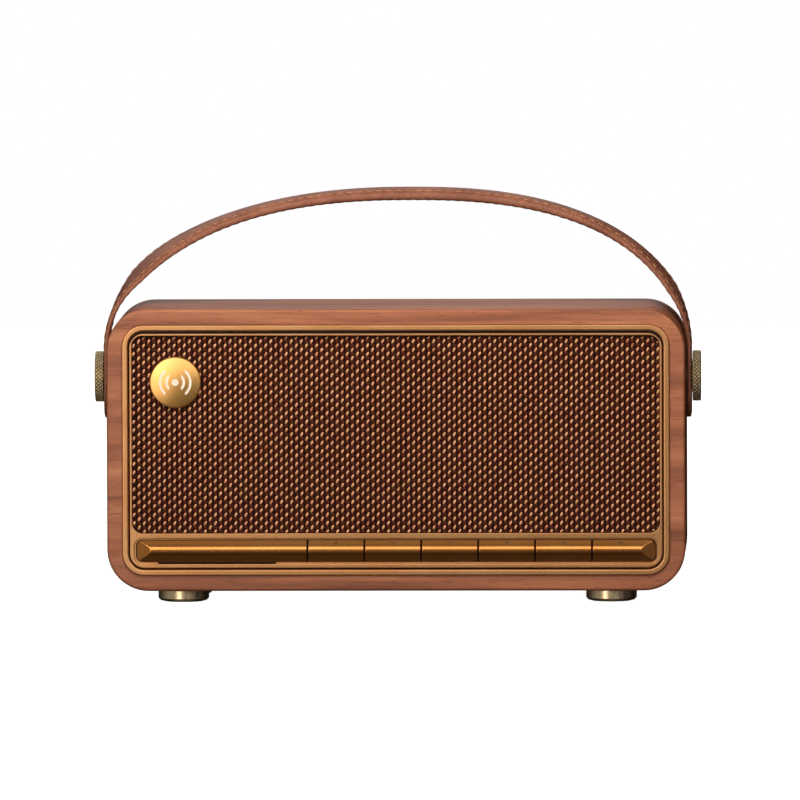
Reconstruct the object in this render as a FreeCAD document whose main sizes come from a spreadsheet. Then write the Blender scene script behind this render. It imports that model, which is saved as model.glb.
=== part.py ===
"""A portable table radio: a walnut-veneered cabinet with a woven grille, a row of piano keys
under it, four metal feet and a leather strap handle held by a knurled thumb screw on each side.

Frame: millimetres, +Z up, the grille faces -Y, and the origin is on the table, under the middle
of the cabinet. Every driving dimension is a cell of the sheet "Dims", and the sizes and places of
the sub-parts are expressions of those cells.
"""
import FreeCAD
import Part
import math
import os
import re

import Sketcher
from FreeCAD import Placement, Rotation, Vector

DOC = FreeCAD.newDocument("portable_radio")

# ---------------------------------------------------------------- driving dimensions
DIMENSIONS = {
    # cabinet
    "cabinet_width": 250.0,
    "cabinet_height": 122.0,
    "cabinet_depth": 78.0,
    "cabinet_corner": 18.0,
    "cabinet_wall": 8.0,
    "edge_round": 1.2,
    "foot_height": 5.5,
    "front_rim": 6.6,
    "front_rabbet": 6.2,
    "rear_rim": 5.0,
    "rear_rabbet": 4.0,
    "fit_gap": 0.1,
    "batten_size": 12.0,
    "batten_screw_inset": 6.0,
    # front trim
    "bezel_width": 2.75,
    "bezel_corner": 9.5,
    "bezel_proud": 0.9,
    "bezel_thick": 4.0,
    "frame_width": 230.2,
    "frame_height": 101.6,
    "frame_centre_z": 66.3,
    "frame_corner": 6.3,
    "frame_proud": 0.2,
    "frame_edge_round": 0.35,
    "frame_thick": 3.2,
    "window_width": 228.0,
    "window_height": 85.4,
    "window_centre_z": 73.3,
    "window_corner": 4.4,
    "cloth_recess": 1.2,
    "cloth_thick": 0.6,
    "baffle_thick": 3.0,
    "backing_bar": 4.0,
    # key row
    "slot_width": 226.4,
    "slot_height": 10.9,
    "slot_centre_z": 22.75,
    "slot_corner": 3.4,
    "ledge_width": 225.2,
    "ledge_height": 9.9,
    "ledge_centre_z": 22.9,
    "ledge_depth": 1.0,
    "notch_start_x": -103.0,
    "notch_length": 51.0,
    "key_pitch": 24.6,
    "key_gap": 0.5,
    "key_height": 9.5,
    "key_row_left": -112.2,
    "key_row_right": 112.2,
    "first_key_left": -38.3,
    "key_corner": 3.0,
    "key_edge_recess": 0.4,
    "key_ridge_proud": 2.7,
    "key_edge_round": 0.4,
    "key_ridge_place": 0.43,
    "key_ridge_round": 5.0,
    "key_hip": 8.5,
    "key_cap_thick": 1.7,
    "key_travel": 1.0,
    "stem_width": 6.0,
    "stem_height": 4.0,
    "stem_gap": 0.3,
    "barb_width": 0.8,
    "barb_length": 1.4,
    # key board and switches
    "key_board_y": -24.0,
    "board_thick": 1.6,
    "key_board_left": -36.0,
    "key_board_length": 139.0,
    "key_board_height": 16.0,
    "switch_side": 6.0,
    "switch_depth": 3.6,
    "plunger_radius": 1.7,
    "plunger_length": 2.8,
    "plunger_gap": 0.15,
    "post_radius": 3.0,
    # badge
    "badge_x": -95.2,
    "badge_z": 96.0,
    "badge_radius": 11.1,
    "badge_thick": 1.8,
    "badge_rim_round": 0.5,
    "badge_pin_radius": 1.2,
    "mark_dot": 1.5,
    "mark_line": 1.1,
    "mark_inner_arc": 4.3,
    "mark_outer_arc": 7.1,
    "mark_recess": 0.5,
    "mark_gap": 0.05,
    # loudspeakers
    "driver_x": 62.0,
    "driver_z": 73.3,
    "driver_hole": 23.5,
    "driver_flange": 29.5,
    "driver_screw_circle": 26.5,
    "gasket_thick": 0.8,
    "flange_thick": 1.2,
    "basket_length": 14.0,
    "basket_back": 17.0,
    "basket_wall": 1.0,
    "magnet_radius": 16.0,
    "magnet_length": 11.0,
    "cone_mouth": 17.5,
    "cone_throat": 7.0,
    "cone_depth": 7.0,
    "paper_thick": 0.5,
    "surround_outer": 22.4,
    "surround_thick": 0.9,
    # rear panel and passive radiator
    "rear_panel_thick": 2.9,
    "rear_panel_recess": 1.0,
    "radiator_z": 78.0,
    "radiator_opening": 30.0,
    "radiator_plate": 22.0,
    "radiator_frame_thick": 2.5,
    "radiator_surround_thick": 1.2,
    "radiator_plate_thick": 1.6,
    "radiator_frame": 34.0,
    "rear_grille_radius": 36.0,
    "rear_grille_rise": 3.0,
    "rear_grille_wall": 0.8,
    "rear_grille_hole": 1.3,
    # main board and sockets
    "main_board_x": 50.0,
    "main_board_length": 58.0,
    "main_board_z": 26.5,
    "main_board_height": 40.0,
    "main_board_y": 22.0,
    "socket_z": 31.0,
    "usb_x": 64.0,
    "jack_x": 80.0,
    "card_x": 97.0,
    "jack_bore": 1.8,
    "jack_barrel": 3.0,
    "jack_body_width": 11.0,
    "jack_body_height": 8.0,
    "usb_width": 8.9,
    "usb_height": 3.2,
    "usb_corner": 1.55,
    "usb_wall": 0.3,
    "usb_tongue_width": 6.6,
    "usb_tongue_thick": 0.7,
    "card_width": 12.6,
    "card_height": 2.0,
    "card_corner": 0.3,
    "card_mouth_width": 11.2,
    "card_mouth_height": 0.9,
    "jack_bore_length": 13.0,
    # battery
    "cell_radius": 9.2,
    "cell_length": 65.0,
    "cell_floor": 1.8,
    "cell_front_y": -2.0,
    "cell_rear_y": 17.4,
    # feet
    "foot_x": 92.7,
    "foot_y": 20.0,
    "foot_radius": 11.0,
    "foot_neck": 0.7,
    "foot_bevel": 1.0,
    "pad_radius": 8.6,
    "pad_proud": 0.4,
    "pad_thick": 1.6,
    # strap handle and thumb screws
    "pivot_z": 96.2,
    "strap_width": 22.0,
    "strap_gap": 0.4,
    "strap_tab_thick": 2.2,
    "strap_top_thick": 5.7,
    "strap_tab_drop": 7.0,
    "strap_spring_z": 108.0,
    "strap_top_z": 178.7,
    "strap_lean": 6.0,
    "strap_lean_power": 2.6,
    "strap_roundness_across": 2.34,
    "strap_roundness_up": 2.08,
    "strap_hole": 2.35,
    "washer_radius": 7.0,
    "washer_thick": 0.7,
    "washer_gap": 0.1,
    "screw_head_radius": 11.1,
    "screw_head_face": 131.5,
    "screw_head_gap": 0.25,
    "screw_head_chamfer": 0.7,
    "screw_shank": 2.0,
    "shank_end_x": 118.5,
    "insert_radius": 3.6,
    "insert_length": 8.0,
    "insert_bore": 2.05,
    # small fixings
    "fixing_head": 2.6,
    "fixing_head_thick": 1.4,
    "fixing_shank": 1.25,
    "fixing_length": 9.0,
    "lead_radius": 0.8,
}
KEY_NAMES = ["power_key", "source_key", "volume_down_key", "volume_up_key", "previous_key", "next_key"]

SHEET = DOC.addObject("Spreadsheet::Sheet", "Dims")
for row, (alias, size) in enumerate(DIMENSIONS.items(), start=1):
    SHEET.set(f"A{row}", alias)
    SHEET.set(f"B{row}", str(size))
    SHEET.setAlias(f"B{row}", alias)
DOC.recompute()

WORD = re.compile(r"[a-z_][a-z_0-9]*")
NODES = []


def sheet_terms(text):
    """The expression with each driving dimension's name turned into its cell of the sheet."""
    return WORD.sub(lambda w: f"Dims.{w.group()}" if w.group() in DIMENSIONS else w.group(), text)


def bind(thing, **sizes):
    """Ties properties of an object to expressions of the driving dimensions."""
    for name, text in sizes.items():
        thing.setExpression(name.replace("__", "."), sheet_terms(text))
    return thing


def locate(thing, at, turn=None):
    """Gives an object its turn, and a place that follows the driving dimensions."""
    thing.Placement = Placement(Vector(), turn or Rotation())
    bind(thing, Placement__Base__x=at[0], Placement__Base__y=at[1], Placement__Base__z=at[2])
    return thing


def node(thing, name):
    """Marks an object as a finished sub-part: its label is the name of its file."""
    thing.Label = name
    NODES.append(thing)
    return thing


# ---------------------------------------------------------------- primitives and booleans
TURNS = {
    "+X": Rotation(Vector(0, 1, 0), 90),
    "-X": Rotation(Vector(0, 1, 0), -90),
    "+Y": Rotation(Vector(1, 0, 0), -90),
    "-Y": Rotation(Vector(1, 0, 0), 90),
    "+Z": Rotation(),
}


def box(name, size, at):
    thing = DOC.addObject("Part::Box", name)
    bind(thing, Length=size[0], Width=size[1], Height=size[2])
    return locate(thing, at)


def cylinder(name, radius, length, at, along="+Y"):
    thing = DOC.addObject("Part::Cylinder", name)
    bind(thing, Radius=radius, Height=length)
    return locate(thing, at, TURNS[along])


def cone(name, radius, end_radius, length, at, along="+Y"):
    thing = DOC.addObject("Part::Cone", name)
    bind(thing, Radius1=radius, Radius2=end_radius, Height=length)
    return locate(thing, at, TURNS[along])


def cut(name, base, tool):
    thing = DOC.addObject("Part::Cut", name)
    thing.Base = base
    thing.Tool = tool
    return thing


def fuse(name, *things):
    thing = DOC.addObject("Part::MultiFuse", name)
    thing.Shapes = list(things)
    return thing


def common(name, *things):
    thing = DOC.addObject("Part::MultiCommon", name)
    thing.Shapes = list(things)
    return thing


def group(name, things):
    thing = DOC.addObject("Part::Compound", name)
    thing.Links = list(things)
    return thing


def ring(name, outer, inner, length, at, along="+Y"):
    """A round ring: a cylinder less the cylinder inside it."""
    return cut(
        name,
        cylinder(name + "_outer", outer, length, at, along),
        cylinder(name + "_inner", inner, length, at, along),
    )


# ---------------------------------------------------------------- rounded slabs, made as bodies
def rounded_outline(body, name, width, height, corner, shift=("0", "0"), back="0"):
    """A sketch of a rounded rectangle on the body's XZ plane. shift moves its centre along X and
    Z, and back moves it along +Y."""
    sketch = body.newObject("Sketcher::SketchObject", name)
    plane = next(f for f in body.Origin.OriginFeatures if f.Role == "XZ_Plane")
    sketch.AttachmentSupport = (plane, [""])
    sketch.MapMode = "FlatFace"
    bind(
        sketch,
        AttachmentOffset__Base__x=shift[0],
        AttachmentOffset__Base__y=shift[1],
        AttachmentOffset__Base__z=f"-({back})",
    )
    half_w, half_h, r = 40.0, 20.0, 4.0
    lines = [
        ((-half_w + r, half_h), (half_w - r, half_h)),
        ((half_w, half_h - r), (half_w, -half_h + r)),
        ((half_w - r, -half_h), (-half_w + r, -half_h)),
        ((-half_w, -half_h + r), (-half_w, half_h - r)),
    ]
    for start, end in lines:
        sketch.addGeometry(Part.LineSegment(Vector(*start, 0), Vector(*end, 0)))
    centres = [
        (half_w - r, half_h - r, 0.0),
        (half_w - r, -half_h + r, -0.5 * math.pi),
        (-half_w + r, -half_h + r, math.pi),
        (-half_w + r, half_h - r, 0.5 * math.pi),
    ]
    for x, y, start in centres:
        circle = Part.Circle(Vector(x, y, 0), Vector(0, 0, 1), r)
        sketch.addGeometry(Part.ArcOfCircle(circle, start, start + 0.5 * math.pi))
    constrain = Sketcher.Constraint
    for side in range(4):
        arc = 4 + side
        sketch.addConstraint(constrain("Tangent", side, 2, arc, 2))
        sketch.addConstraint(constrain("Tangent", arc, 1, (side + 1) % 4, 1))
        sketch.addConstraint(constrain("Horizontal" if side % 2 == 0 else "Vertical", side))
    for arc in (5, 6, 7):
        sketch.addConstraint(constrain("Equal", 4, arc))
    sketch.addConstraint(constrain("Symmetric", 4, 3, 6, 3, -1, 1))
    named = [
        ("wide", constrain("DistanceX", 3, 1, 1, 1, 2 * half_w), width),
        ("high", constrain("DistanceY", 2, 1, 0, 1, 2 * half_h), height),
        ("corner", constrain("Radius", 4, r), corner),
    ]
    for label, rule, text in named:
        index = sketch.addConstraint(rule)
        sketch.renameConstraint(index, label)
        sketch.setExpression(f"Constraints.{label}", sheet_terms(text))
    return sketch


def slab(name, width, height, corner, thick, at):
    """A rounded slab whose front face is at the given place, and which runs back along +Y."""
    body = DOC.addObject("PartDesign::Body", name)
    locate(body, at)
    pad = body.newObject("PartDesign::Pad", name + "_pad")
    pad.Profile = rounded_outline(body, name + "_outline", width, height, corner)
    pad.Reversed = True
    bind(pad, Length=thick)
    return body


def opening(body, name, width, height, corner, shift=("0", "0"), depth=None, back="0", forwards=False):
    """A rounded pocket in a slab, from the plane `back` behind its front face. It goes right
    through when no depth is given, and towards the front with forwards."""
    pocket = body.newObject("PartDesign::Pocket", name)
    pocket.Profile = rounded_outline(body, name + "_outline", width, height, corner, shift, back)
    pocket.Reversed = forwards
    if depth is None:
        pocket.Type = "ThroughAll"
    else:
        bind(pocket, Length=depth)
    return pocket


def round_edges(body, name, radius, wanted):
    """Rounds those edges of a body that the test `wanted` picks, in the body's own frame."""
    DOC.recompute()
    last = body.Tip
    picked = [f"Edge{i}" for i, edge in enumerate(last.Shape.Edges, start=1) if wanted(edge)]
    rounding = body.newObject("PartDesign::Fillet", name)
    rounding.Base = (last, picked)
    bind(rounding, Radius=radius)
    return rounding


def lies_on(edge, y, half_width=None):
    """True for an edge in the plane of that y. half_width also asks that the edge is no further
    from the middle than that."""
    limits = edge.BoundBox
    flat = abs(limits.YMin - y) < 1e-4 and abs(limits.YMax - y) < 1e-4
    return flat and (half_width is None or limits.XMax < half_width)


# ---------------------------------------------------------------- places that many sub-parts use
FRONT = "(-cabinet_depth / 2)"
REAR = "(cabinet_depth / 2)"
CENTRE_Z = "(foot_height + cabinet_height / 2)"
SIDE = "(cabinet_width / 2)"
BAFFLE_BACK = f"({FRONT} + front_rabbet - fit_gap)"
BAFFLE_FRONT = f"({BAFFLE_BACK} - baffle_thick)"
FRAME_FRONT = f"({FRONT} - frame_proud)"
KEY_EDGE = f"({FRONT} - frame_proud + key_edge_recess)"
CLOTH_FRONT = f"({FRAME_FRONT} + cloth_recess)"
BACKING_FRONT = f"({CLOTH_FRONT} + cloth_thick)"
PANEL_BACK = f"({REAR} - rear_panel_recess)"
PANEL_FRONT = f"({PANEL_BACK} - rear_panel_thick)"
INNER_WIDTH = "(cabinet_width - 2 * cabinet_wall)"
INNER_HEIGHT = "(cabinet_height - 2 * cabinet_wall)"
INNER_CORNER = "(cabinet_corner - cabinet_wall)"
INNER_FLOOR = "(foot_height + cabinet_wall)"
BATTEN_X = f"({INNER_WIDTH} / 2 - batten_screw_inset)"
BATTEN_Z = f"({INNER_HEIGHT} / 2 - batten_screw_inset)"
CORNERS = [(sx, sz) for sx in ("-", "") for sz in ("-", "")]
FOOT_SPOTS = [(sx, sy) for sx in ("-", "") for sy in ("-", "")]
SIDES = {"left": ("-", "-X"), "right": ("", "+X")}


def key_middle(index):
    """The middle of a key's width, as an expression. The last key runs on to the slot's end."""
    left = f"(first_key_left + {index} * key_pitch)"
    right = f"(first_key_left + {index + 1} * key_pitch)" if index < 5 else "key_row_right"
    return f"(({left} + {right}) / 2)"


# ---------------------------------------------------------------- cabinet
def make_cabinet():
    """The wooden sleeve: a rounded tube with a rabbet at each end for the front and rear panels."""
    body = slab(
        "cabinet_shell", "cabinet_width", "cabinet_height", "cabinet_corner", "cabinet_depth",
        ("0", FRONT, CENTRE_Z),
    )
    opening(body, "cabinet_hollow", INNER_WIDTH, INNER_HEIGHT, INNER_CORNER)
    opening(
        body, "cabinet_front_rabbet", "cabinet_width - 2 * front_rim", "cabinet_height - 2 * front_rim",
        "bezel_corner + fit_gap / 2", depth="front_rabbet",
    )
    opening(
        body, "cabinet_rear_rabbet", "cabinet_width - 2 * rear_rim", "cabinet_height - 2 * rear_rim",
        "cabinet_corner - rear_rim", depth="rear_rabbet", back="cabinet_depth", forwards=True,
    )
    depth = DIMENSIONS["cabinet_depth"]
    outside = DIMENSIONS["cabinet_width"] / 2 - DIMENSIONS["rear_rim"] - 0.1

    def outer_rim(edge):
        limits = edge.BoundBox
        far = max(abs(limits.XMin), abs(limits.XMax)) > outside
        top = max(abs(limits.ZMin), abs(limits.ZMax)) > DIMENSIONS["cabinet_height"] / 2 - 1
        return (lies_on(edge, 0) or lies_on(edge, depth)) and (far or top)

    round_edges(body, "cabinet_edge_rounding", "edge_round", outer_rim)
    holes = [
        cylinder(f"insert_hole_{side}", "insert_radius", "insert_length",
                 (f"{sign}{SIDE}", "0", "pivot_z"), inward)
        for side, sign, inward in (("left", "-", "+X"), ("right", "", "-X"))
    ]
    holes += [
        cylinder(f"foot_hole_{i}", "fixing_shank", "cabinet_wall - 1",
                 (f"{sx}foot_x", f"{sy}foot_y", "foot_height"), "+Z")
        for i, (sx, sy) in enumerate(FOOT_SPOTS)
    ]
    return node(cut("cabinet_sleeve", body, group("cabinet_holes", holes)), "cabinet")


def make_battens():
    """Four corner battens of wood that the front and rear panels screw into."""
    length = f"({PANEL_FRONT} - {BAFFLE_BACK} - 2 * fit_gap)"
    start = f"({BAFFLE_BACK} + fit_gap)"
    blocks, pilots = [], []
    for i, (sx, sz) in enumerate(CORNERS):
        x, z = f"{sx}{BATTEN_X}", f"{CENTRE_Z} + {sz or '+'}{BATTEN_Z}"
        blocks.append(box(
            f"batten_block_{i}", ("batten_size", length, "batten_size"),
            (f"{x} - batten_size / 2", start, f"{z} - batten_size / 2"),
        ))
        pilots.append(cylinder(f"batten_pilot_front_{i}", "fixing_shank", "fixing_length", (x, start, z)))
        pilots.append(cylinder(f"batten_pilot_rear_{i}", "fixing_shank", "fixing_length",
                               (x, f"({PANEL_FRONT} - fit_gap)", z), "-Y"))
    hollow = slab("batten_limits", INNER_WIDTH, INNER_HEIGHT, INNER_CORNER, "cabinet_depth",
                  ("0", FRONT, CENTRE_Z))
    shaped = common("batten_shapes", group("batten_blocks", blocks), hollow)
    return node(cut("battens", shaped, group("batten_pilots", pilots)), "corner_battens")


# ---------------------------------------------------------------- front trim and grille
def make_bezel():
    """The metal ring let into the front of the cabinet, with a half-round face."""
    body = slab(
        "bezel_ring", "cabinet_width - 2 * front_rim - fit_gap", "cabinet_height - 2 * front_rim - fit_gap",
        "bezel_corner", "bezel_thick", ("0", f"{FRONT} - bezel_proud", CENTRE_Z),
    )
    opening(
        body, "bezel_hole", "cabinet_width - 2 * front_rim - fit_gap - 2 * bezel_width",
        "cabinet_height - 2 * front_rim - fit_gap - 2 * bezel_width", "bezel_corner - bezel_width",
    )
    round_edges(body, "bezel_rounding", "bezel_width * 0.24", lambda edge: lies_on(edge, 0))
    return node(body, "bezel")


def make_baffle():
    """The moulded panel behind the trim: it carries the loudspeakers, guides the key stems and
    holds the key board on two posts."""
    body = slab(
        "baffle_panel", "cabinet_width - 2 * front_rim - 4 * fit_gap",
        "cabinet_height - 2 * front_rim - 4 * fit_gap", "bezel_corner - fit_gap", "baffle_thick",
        ("0", BAFFLE_FRONT, CENTRE_Z),
    )
    holes = []
    for side, (sign, _) in SIDES.items():
        holes.append(cylinder(f"baffle_hole_{side}", "driver_hole", "3 * baffle_thick",
                              (f"{sign}driver_x", f"{BAFFLE_FRONT} - baffle_thick", "driver_z")))
        for i, (dx, dz) in enumerate(driver_screw_spots()):
            holes.append(cylinder(f"baffle_driver_screw_{side}_{i}", "fixing_shank", "baffle_thick",
                                  (f"{sign}driver_x + {dx}", f"{BAFFLE_FRONT} + 0.6", f"driver_z + {dz}")))
    for i, (sx, sz) in enumerate(CORNERS):
        x, z = f"{sx}{BATTEN_X}", f"{CENTRE_Z} + {sz or '+'}{BATTEN_Z}"
        holes.append(cylinder(f"baffle_screw_{i}", "fixing_shank + 0.1", "2 * baffle_thick",
                              (x, f"{BAFFLE_FRONT} - 1", z)))
        holes.append(cylinder(f"baffle_screw_seat_{i}", "fixing_head + 0.1", "fixing_head_thick + 1",
                              (x, f"{BAFFLE_FRONT} - 1", z)))
    for i in range(6):
        holes.append(box(
            f"stem_guide_{i}",
            ("stem_width + 2 * stem_gap", "3 * baffle_thick", "stem_height + 2 * stem_gap"),
            (f"{key_middle(i)} - stem_width / 2 - stem_gap", f"{BAFFLE_FRONT} - baffle_thick",
             "ledge_centre_z - stem_height / 2 - stem_gap"),
        ))
    holes.append(cylinder("badge_pin_hole", "badge_pin_radius + fit_gap", "3 * baffle_thick",
                          ("badge_x", f"{BAFFLE_FRONT} - baffle_thick", "badge_z")))
    posts, pilots = [], []
    for i, x in enumerate(post_places()):
        posts.append(cylinder(f"board_post_{i}", "post_radius", f"(key_board_y - {BAFFLE_BACK})",
                              (x, BAFFLE_BACK, "ledge_centre_z")))
        pilots.append(cylinder(f"post_pilot_{i}", "fixing_shank", "fixing_length - board_thick - 1.5",
                               (x, "key_board_y", "ledge_centre_z"), "-Y"))
    whole = fuse("baffle_with_posts", cut("baffle_pierced", body, group("baffle_holes", holes)), *posts)
    return node(cut("baffle_moulding", whole, group("post_pilots", pilots)), "front_baffle")


def post_places():
    """Where the key board's posts stand: between the keys."""
    return [f"(first_key_left + {n} * key_pitch)" for n in (1, 5)]


def driver_screw_spots():
    """The four screw places of a loudspeaker flange, as offsets along X and Z."""
    return [(f"({a} * driver_screw_circle * 0.70711)", f"({b} * driver_screw_circle * 0.70711)")
            for a in (-1, 1) for b in (-1, 1)]


def make_grille_frame():
    """The metal-faced frame: a window for the cloth, and under it a stepped slot for the keys."""
    body = slab("frame_panel", "frame_width", "frame_height", "frame_corner", "frame_thick",
                ("0", FRAME_FRONT, "frame_centre_z"))
    opening(body, "frame_window", "window_width", "window_height", "window_corner",
            ("0", "window_centre_z - frame_centre_z"))
    opening(body, "frame_slot", "slot_width", "slot_height", "slot_corner",
            ("0", "slot_centre_z - frame_centre_z"), depth="ledge_depth")
    opening(body, "frame_slot_through", "ledge_width", "ledge_height", "slot_corner - 0.4",
            ("0", "ledge_centre_z - frame_centre_z"))
    round_edges(body, "frame_rounding", "frame_edge_round", lambda edge: lies_on(edge, 0))
    notch = box(
        "ledge_notch", ("notch_length", "2 * frame_thick", "1"),
        ("notch_start_x", f"{FRAME_FRONT} + ledge_depth - 0.2", "slot_centre_z - slot_height / 2"),
    )
    return node(cut("frame_notched", body, notch), "grille_frame")


def make_grille():
    """The woven cloth, and the open lattice that it is stretched over."""
    cloth = slab("cloth_sheet", "window_width - 2 * fit_gap", "window_height - 2 * fit_gap",
                 "window_corner - fit_gap", "cloth_thick", ("0", CLOTH_FRONT, "window_centre_z"))
    pin = cylinder("cloth_pin_hole", "badge_pin_radius + fit_gap", "2",
                   ("badge_x", f"{CLOTH_FRONT} - 0.5", "badge_z"))
    node(cut("cloth_pierced", cloth, pin), "grille_cloth")
    thick = f"({BAFFLE_FRONT} - {BACKING_FRONT} - fit_gap)"
    backing = slab("backing_plate", "window_width - 2 * fit_gap", "window_height - 2 * fit_gap",
                   "window_corner - fit_gap", thick, ("0", BACKING_FRONT, "window_centre_z"))
    columns, rows = 10, 4
    cell_w = f"((window_width - {columns + 1} * backing_bar) / {columns})"
    cell_h = f"((window_height - {rows + 1} * backing_bar) / {rows})"
    cells = []
    for column in range(columns):
        for row in range(rows):
            if (column, row) == (0, rows - 1):
                continue
            cells.append(box(
                f"backing_cell_{column}_{row}", (cell_w, "5", cell_h),
                (f"-window_width / 2 + backing_bar + {column} * ({cell_w} + backing_bar)",
                 f"{BACKING_FRONT} - 1",
                 f"window_centre_z - window_height / 2 + backing_bar + {row} * ({cell_h} + backing_bar)"),
            ))
    cells.append(cylinder("backing_pin_hole", "badge_pin_radius + fit_gap", "5",
                          ("badge_x", f"{BACKING_FRONT} - 1", "badge_z")))
    node(cut("backing_lattice", backing, group("backing_cells", cells)), "grille_backing")


def emblem(name, depth, y):
    """The badge's mark: a dot with two pairs of arcs spreading from it, as solids."""
    pieces = [cylinder(name + "_dot", "mark_dot", depth, ("badge_x", y, "badge_z"))]
    for i, outer in enumerate(("mark_inner_arc", "mark_outer_arc")):
        arcs = cut(
            f"{name}_arcs_{i}",
            ring(f"{name}_ring_{i}", outer, f"({outer} - mark_line)", depth, ("badge_x", y, "badge_z")),
            box(f"{name}_gap_{i}", (f"{outer} * 1.2", "6", "2 * badge_radius"),
                (f"badge_x - {outer} * 0.6", f"{y} - 1", "badge_z - badge_radius")),
        )
        pieces.append(arcs)
    return group(name, pieces)


def make_badge():
    """A round badge with a pin through the cloth, and the mark inlaid in its face."""
    front = f"({CLOTH_FRONT} - badge_thick)"
    cloth_y = DIMENSIONS["cloth_recess"] - DIMENSIONS["frame_proud"] - DIMENSIONS["cabinet_depth"] / 2
    disc = round_shape(
        "badge_disc", cylinder("badge_blank", "badge_radius", "badge_thick", ("badge_x", front, "badge_z")),
        DIMENSIONS["badge_rim_round"],
        lambda edge: edge.BoundBox.YMax < cloth_y - 0.5 and len(edge.Vertexes) == 1,
    )
    pin = cylinder("badge_pin", "badge_pin_radius", f"({BAFFLE_BACK} - {front} - 1)",
                   ("badge_x", front, "badge_z"))
    recess = emblem("badge_recess", "mark_recess", front)
    node(cut("badge_turned", fuse("badge_solid", disc, pin), recess), "badge")
    node(emblem("inlay_pieces", "mark_recess - mark_gap", f"{front} + mark_gap"), "badge_inlay")


# ---------------------------------------------------------------- keys
def hip_cutter(name, pivot, turn, size):
    """A block turned about Z, whose near face is the slanted end of a row of keys."""
    cutter = box(name, (*size, "key_height + 2"), (pivot, "0", "0"))
    locate(cutter, (pivot, KEY_EDGE, "ledge_centre_z - key_height / 2 - 1"), Rotation(Vector(0, 0, 1), turn))
    return cutter


def key_cap(name, left, right, left_hip, right_hip):
    """A key's cap: a block with a roof in front whose ridge is well rounded. The end that closes the
    row is hipped, and has the slot's round corners."""
    bottom = "(ledge_centre_z - key_height / 2)"
    width = f"({right} - {left})"
    block = box(name + "_block", (width, "key_cap_thick", "key_height"), (left, KEY_EDGE, bottom))
    roof = DOC.addObject("Part::Wedge", name + "_roof")
    # The wedge is turned half a turn about X, so its own Y points forwards and its Z downwards.
    bind(
        roof, Xmin="0", Xmax=width, Ymin="0", Ymax="key_ridge_proud", Zmin="0", Zmax="key_height",
        X2min="0", X2max=width, Z2min="key_height * key_ridge_place", Z2max="key_height * key_ridge_place",
    )
    locate(roof, (left, KEY_EDGE, "ledge_centre_z + key_height / 2"), Rotation(Vector(1, 0, 0), 180))
    whole = round_shape(name + "_ridged", fuse(name + "_solid", block, roof),
                        DIMENSIONS["key_ridge_round"], is_ridge)
    if not (left_hip or right_hip):
        return whole
    slant = math.degrees(math.atan2(DIMENSIONS["key_ridge_proud"], DIMENSIONS["key_hip"]))
    if left_hip:
        cutter = hip_cutter(name + "_hip", left, -90 - slant, ("2 * key_ridge_proud", "2 * key_hip"))
    else:
        cutter = hip_cutter(name + "_hip", right, 180 + slant, ("2 * key_hip", "2 * key_ridge_proud"))
    limits = slab(
        name + "_limits", f"{width} + 20", "key_height", "key_corner", "20",
        (f"({left} + {right}) / 2 {'+' if left_hip else '-'} 10", f"{KEY_EDGE} - 10", "ledge_centre_z"),
    )
    return common(name + "_trimmed", cut(name + "_hipped", whole, cutter), limits)


def is_ridge(edge):
    """True for a long edge in the middle of a key's roof."""
    front = -DIMENSIONS["cabinet_depth"] / 2 - DIMENSIONS["frame_proud"]
    return edge.BoundBox.XLength > 10 and edge.BoundBox.YMax < front - 0.5


def round_shape(name, base, radius, wanted):
    """Rounds those edges of a Part object that the test picks."""
    DOC.recompute()
    thing = DOC.addObject("Part::Fillet", name)
    thing.Base = base
    thing.Edges = [(i, radius, radius) for i, e in enumerate(base.Shape.Edges, start=1) if wanted(e)]
    return thing


def faces_forwards(edge):
    """True for the edges of a key's cap in front of its back, but for the seams of the ridge."""
    front = -DIMENSIONS["cabinet_depth"] / 2 - DIMENSIONS["frame_proud"]
    is_seam = edge.BoundBox.XLength > 10 and edge.BoundBox.YMax < front - 0.5
    return edge.BoundBox.YMax < front + DIMENSIONS["key_cap_thick"] - 0.01 and not is_seam


def make_keys():
    """Six keys. Each has a stem through the baffle with a barb on each side, and a plunger that
    works its switch."""
    back = f"({KEY_EDGE} + key_cap_thick)"
    plunger_front = "(key_board_y - switch_depth - plunger_length + key_travel + 0.2)"
    for i, name in enumerate(KEY_NAMES):
        last = i == len(KEY_NAMES) - 1
        left = f"(first_key_left + {i} * key_pitch + key_gap / 2)"
        right = "key_row_right" if last else f"(first_key_left + {i + 1} * key_pitch - key_gap / 2)"
        cap = round_shape(name + "_rounded", key_cap(name, left, right, False, last),
                          DIMENSIONS["key_edge_round"], faces_forwards)
        middle = key_middle(i)
        stem = box(name + "_stem", ("stem_width", f"({plunger_front} - {back})", "stem_height"),
                   (f"{middle} - stem_width / 2", back, "ledge_centre_z - stem_height / 2"))
        barbs = [
            box(f"{name}_barb_{side}", ("barb_width", "barb_length", "stem_height"),
                (f"{middle} {shift}", f"{BAFFLE_BACK} + fit_gap", "ledge_centre_z - stem_height / 2"))
            for side, shift in (("left", "- stem_width / 2 - barb_width"), ("right", "+ stem_width / 2"))
        ]
        node(fuse(name + "_moulding", cap, stem, *barbs), name)
        node(cylinder(name + "_plunger_pin", "plunger_radius", "plunger_length",
                      (middle, plunger_front, "ledge_centre_z")), name.replace("_key", "_plunger"))


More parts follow.
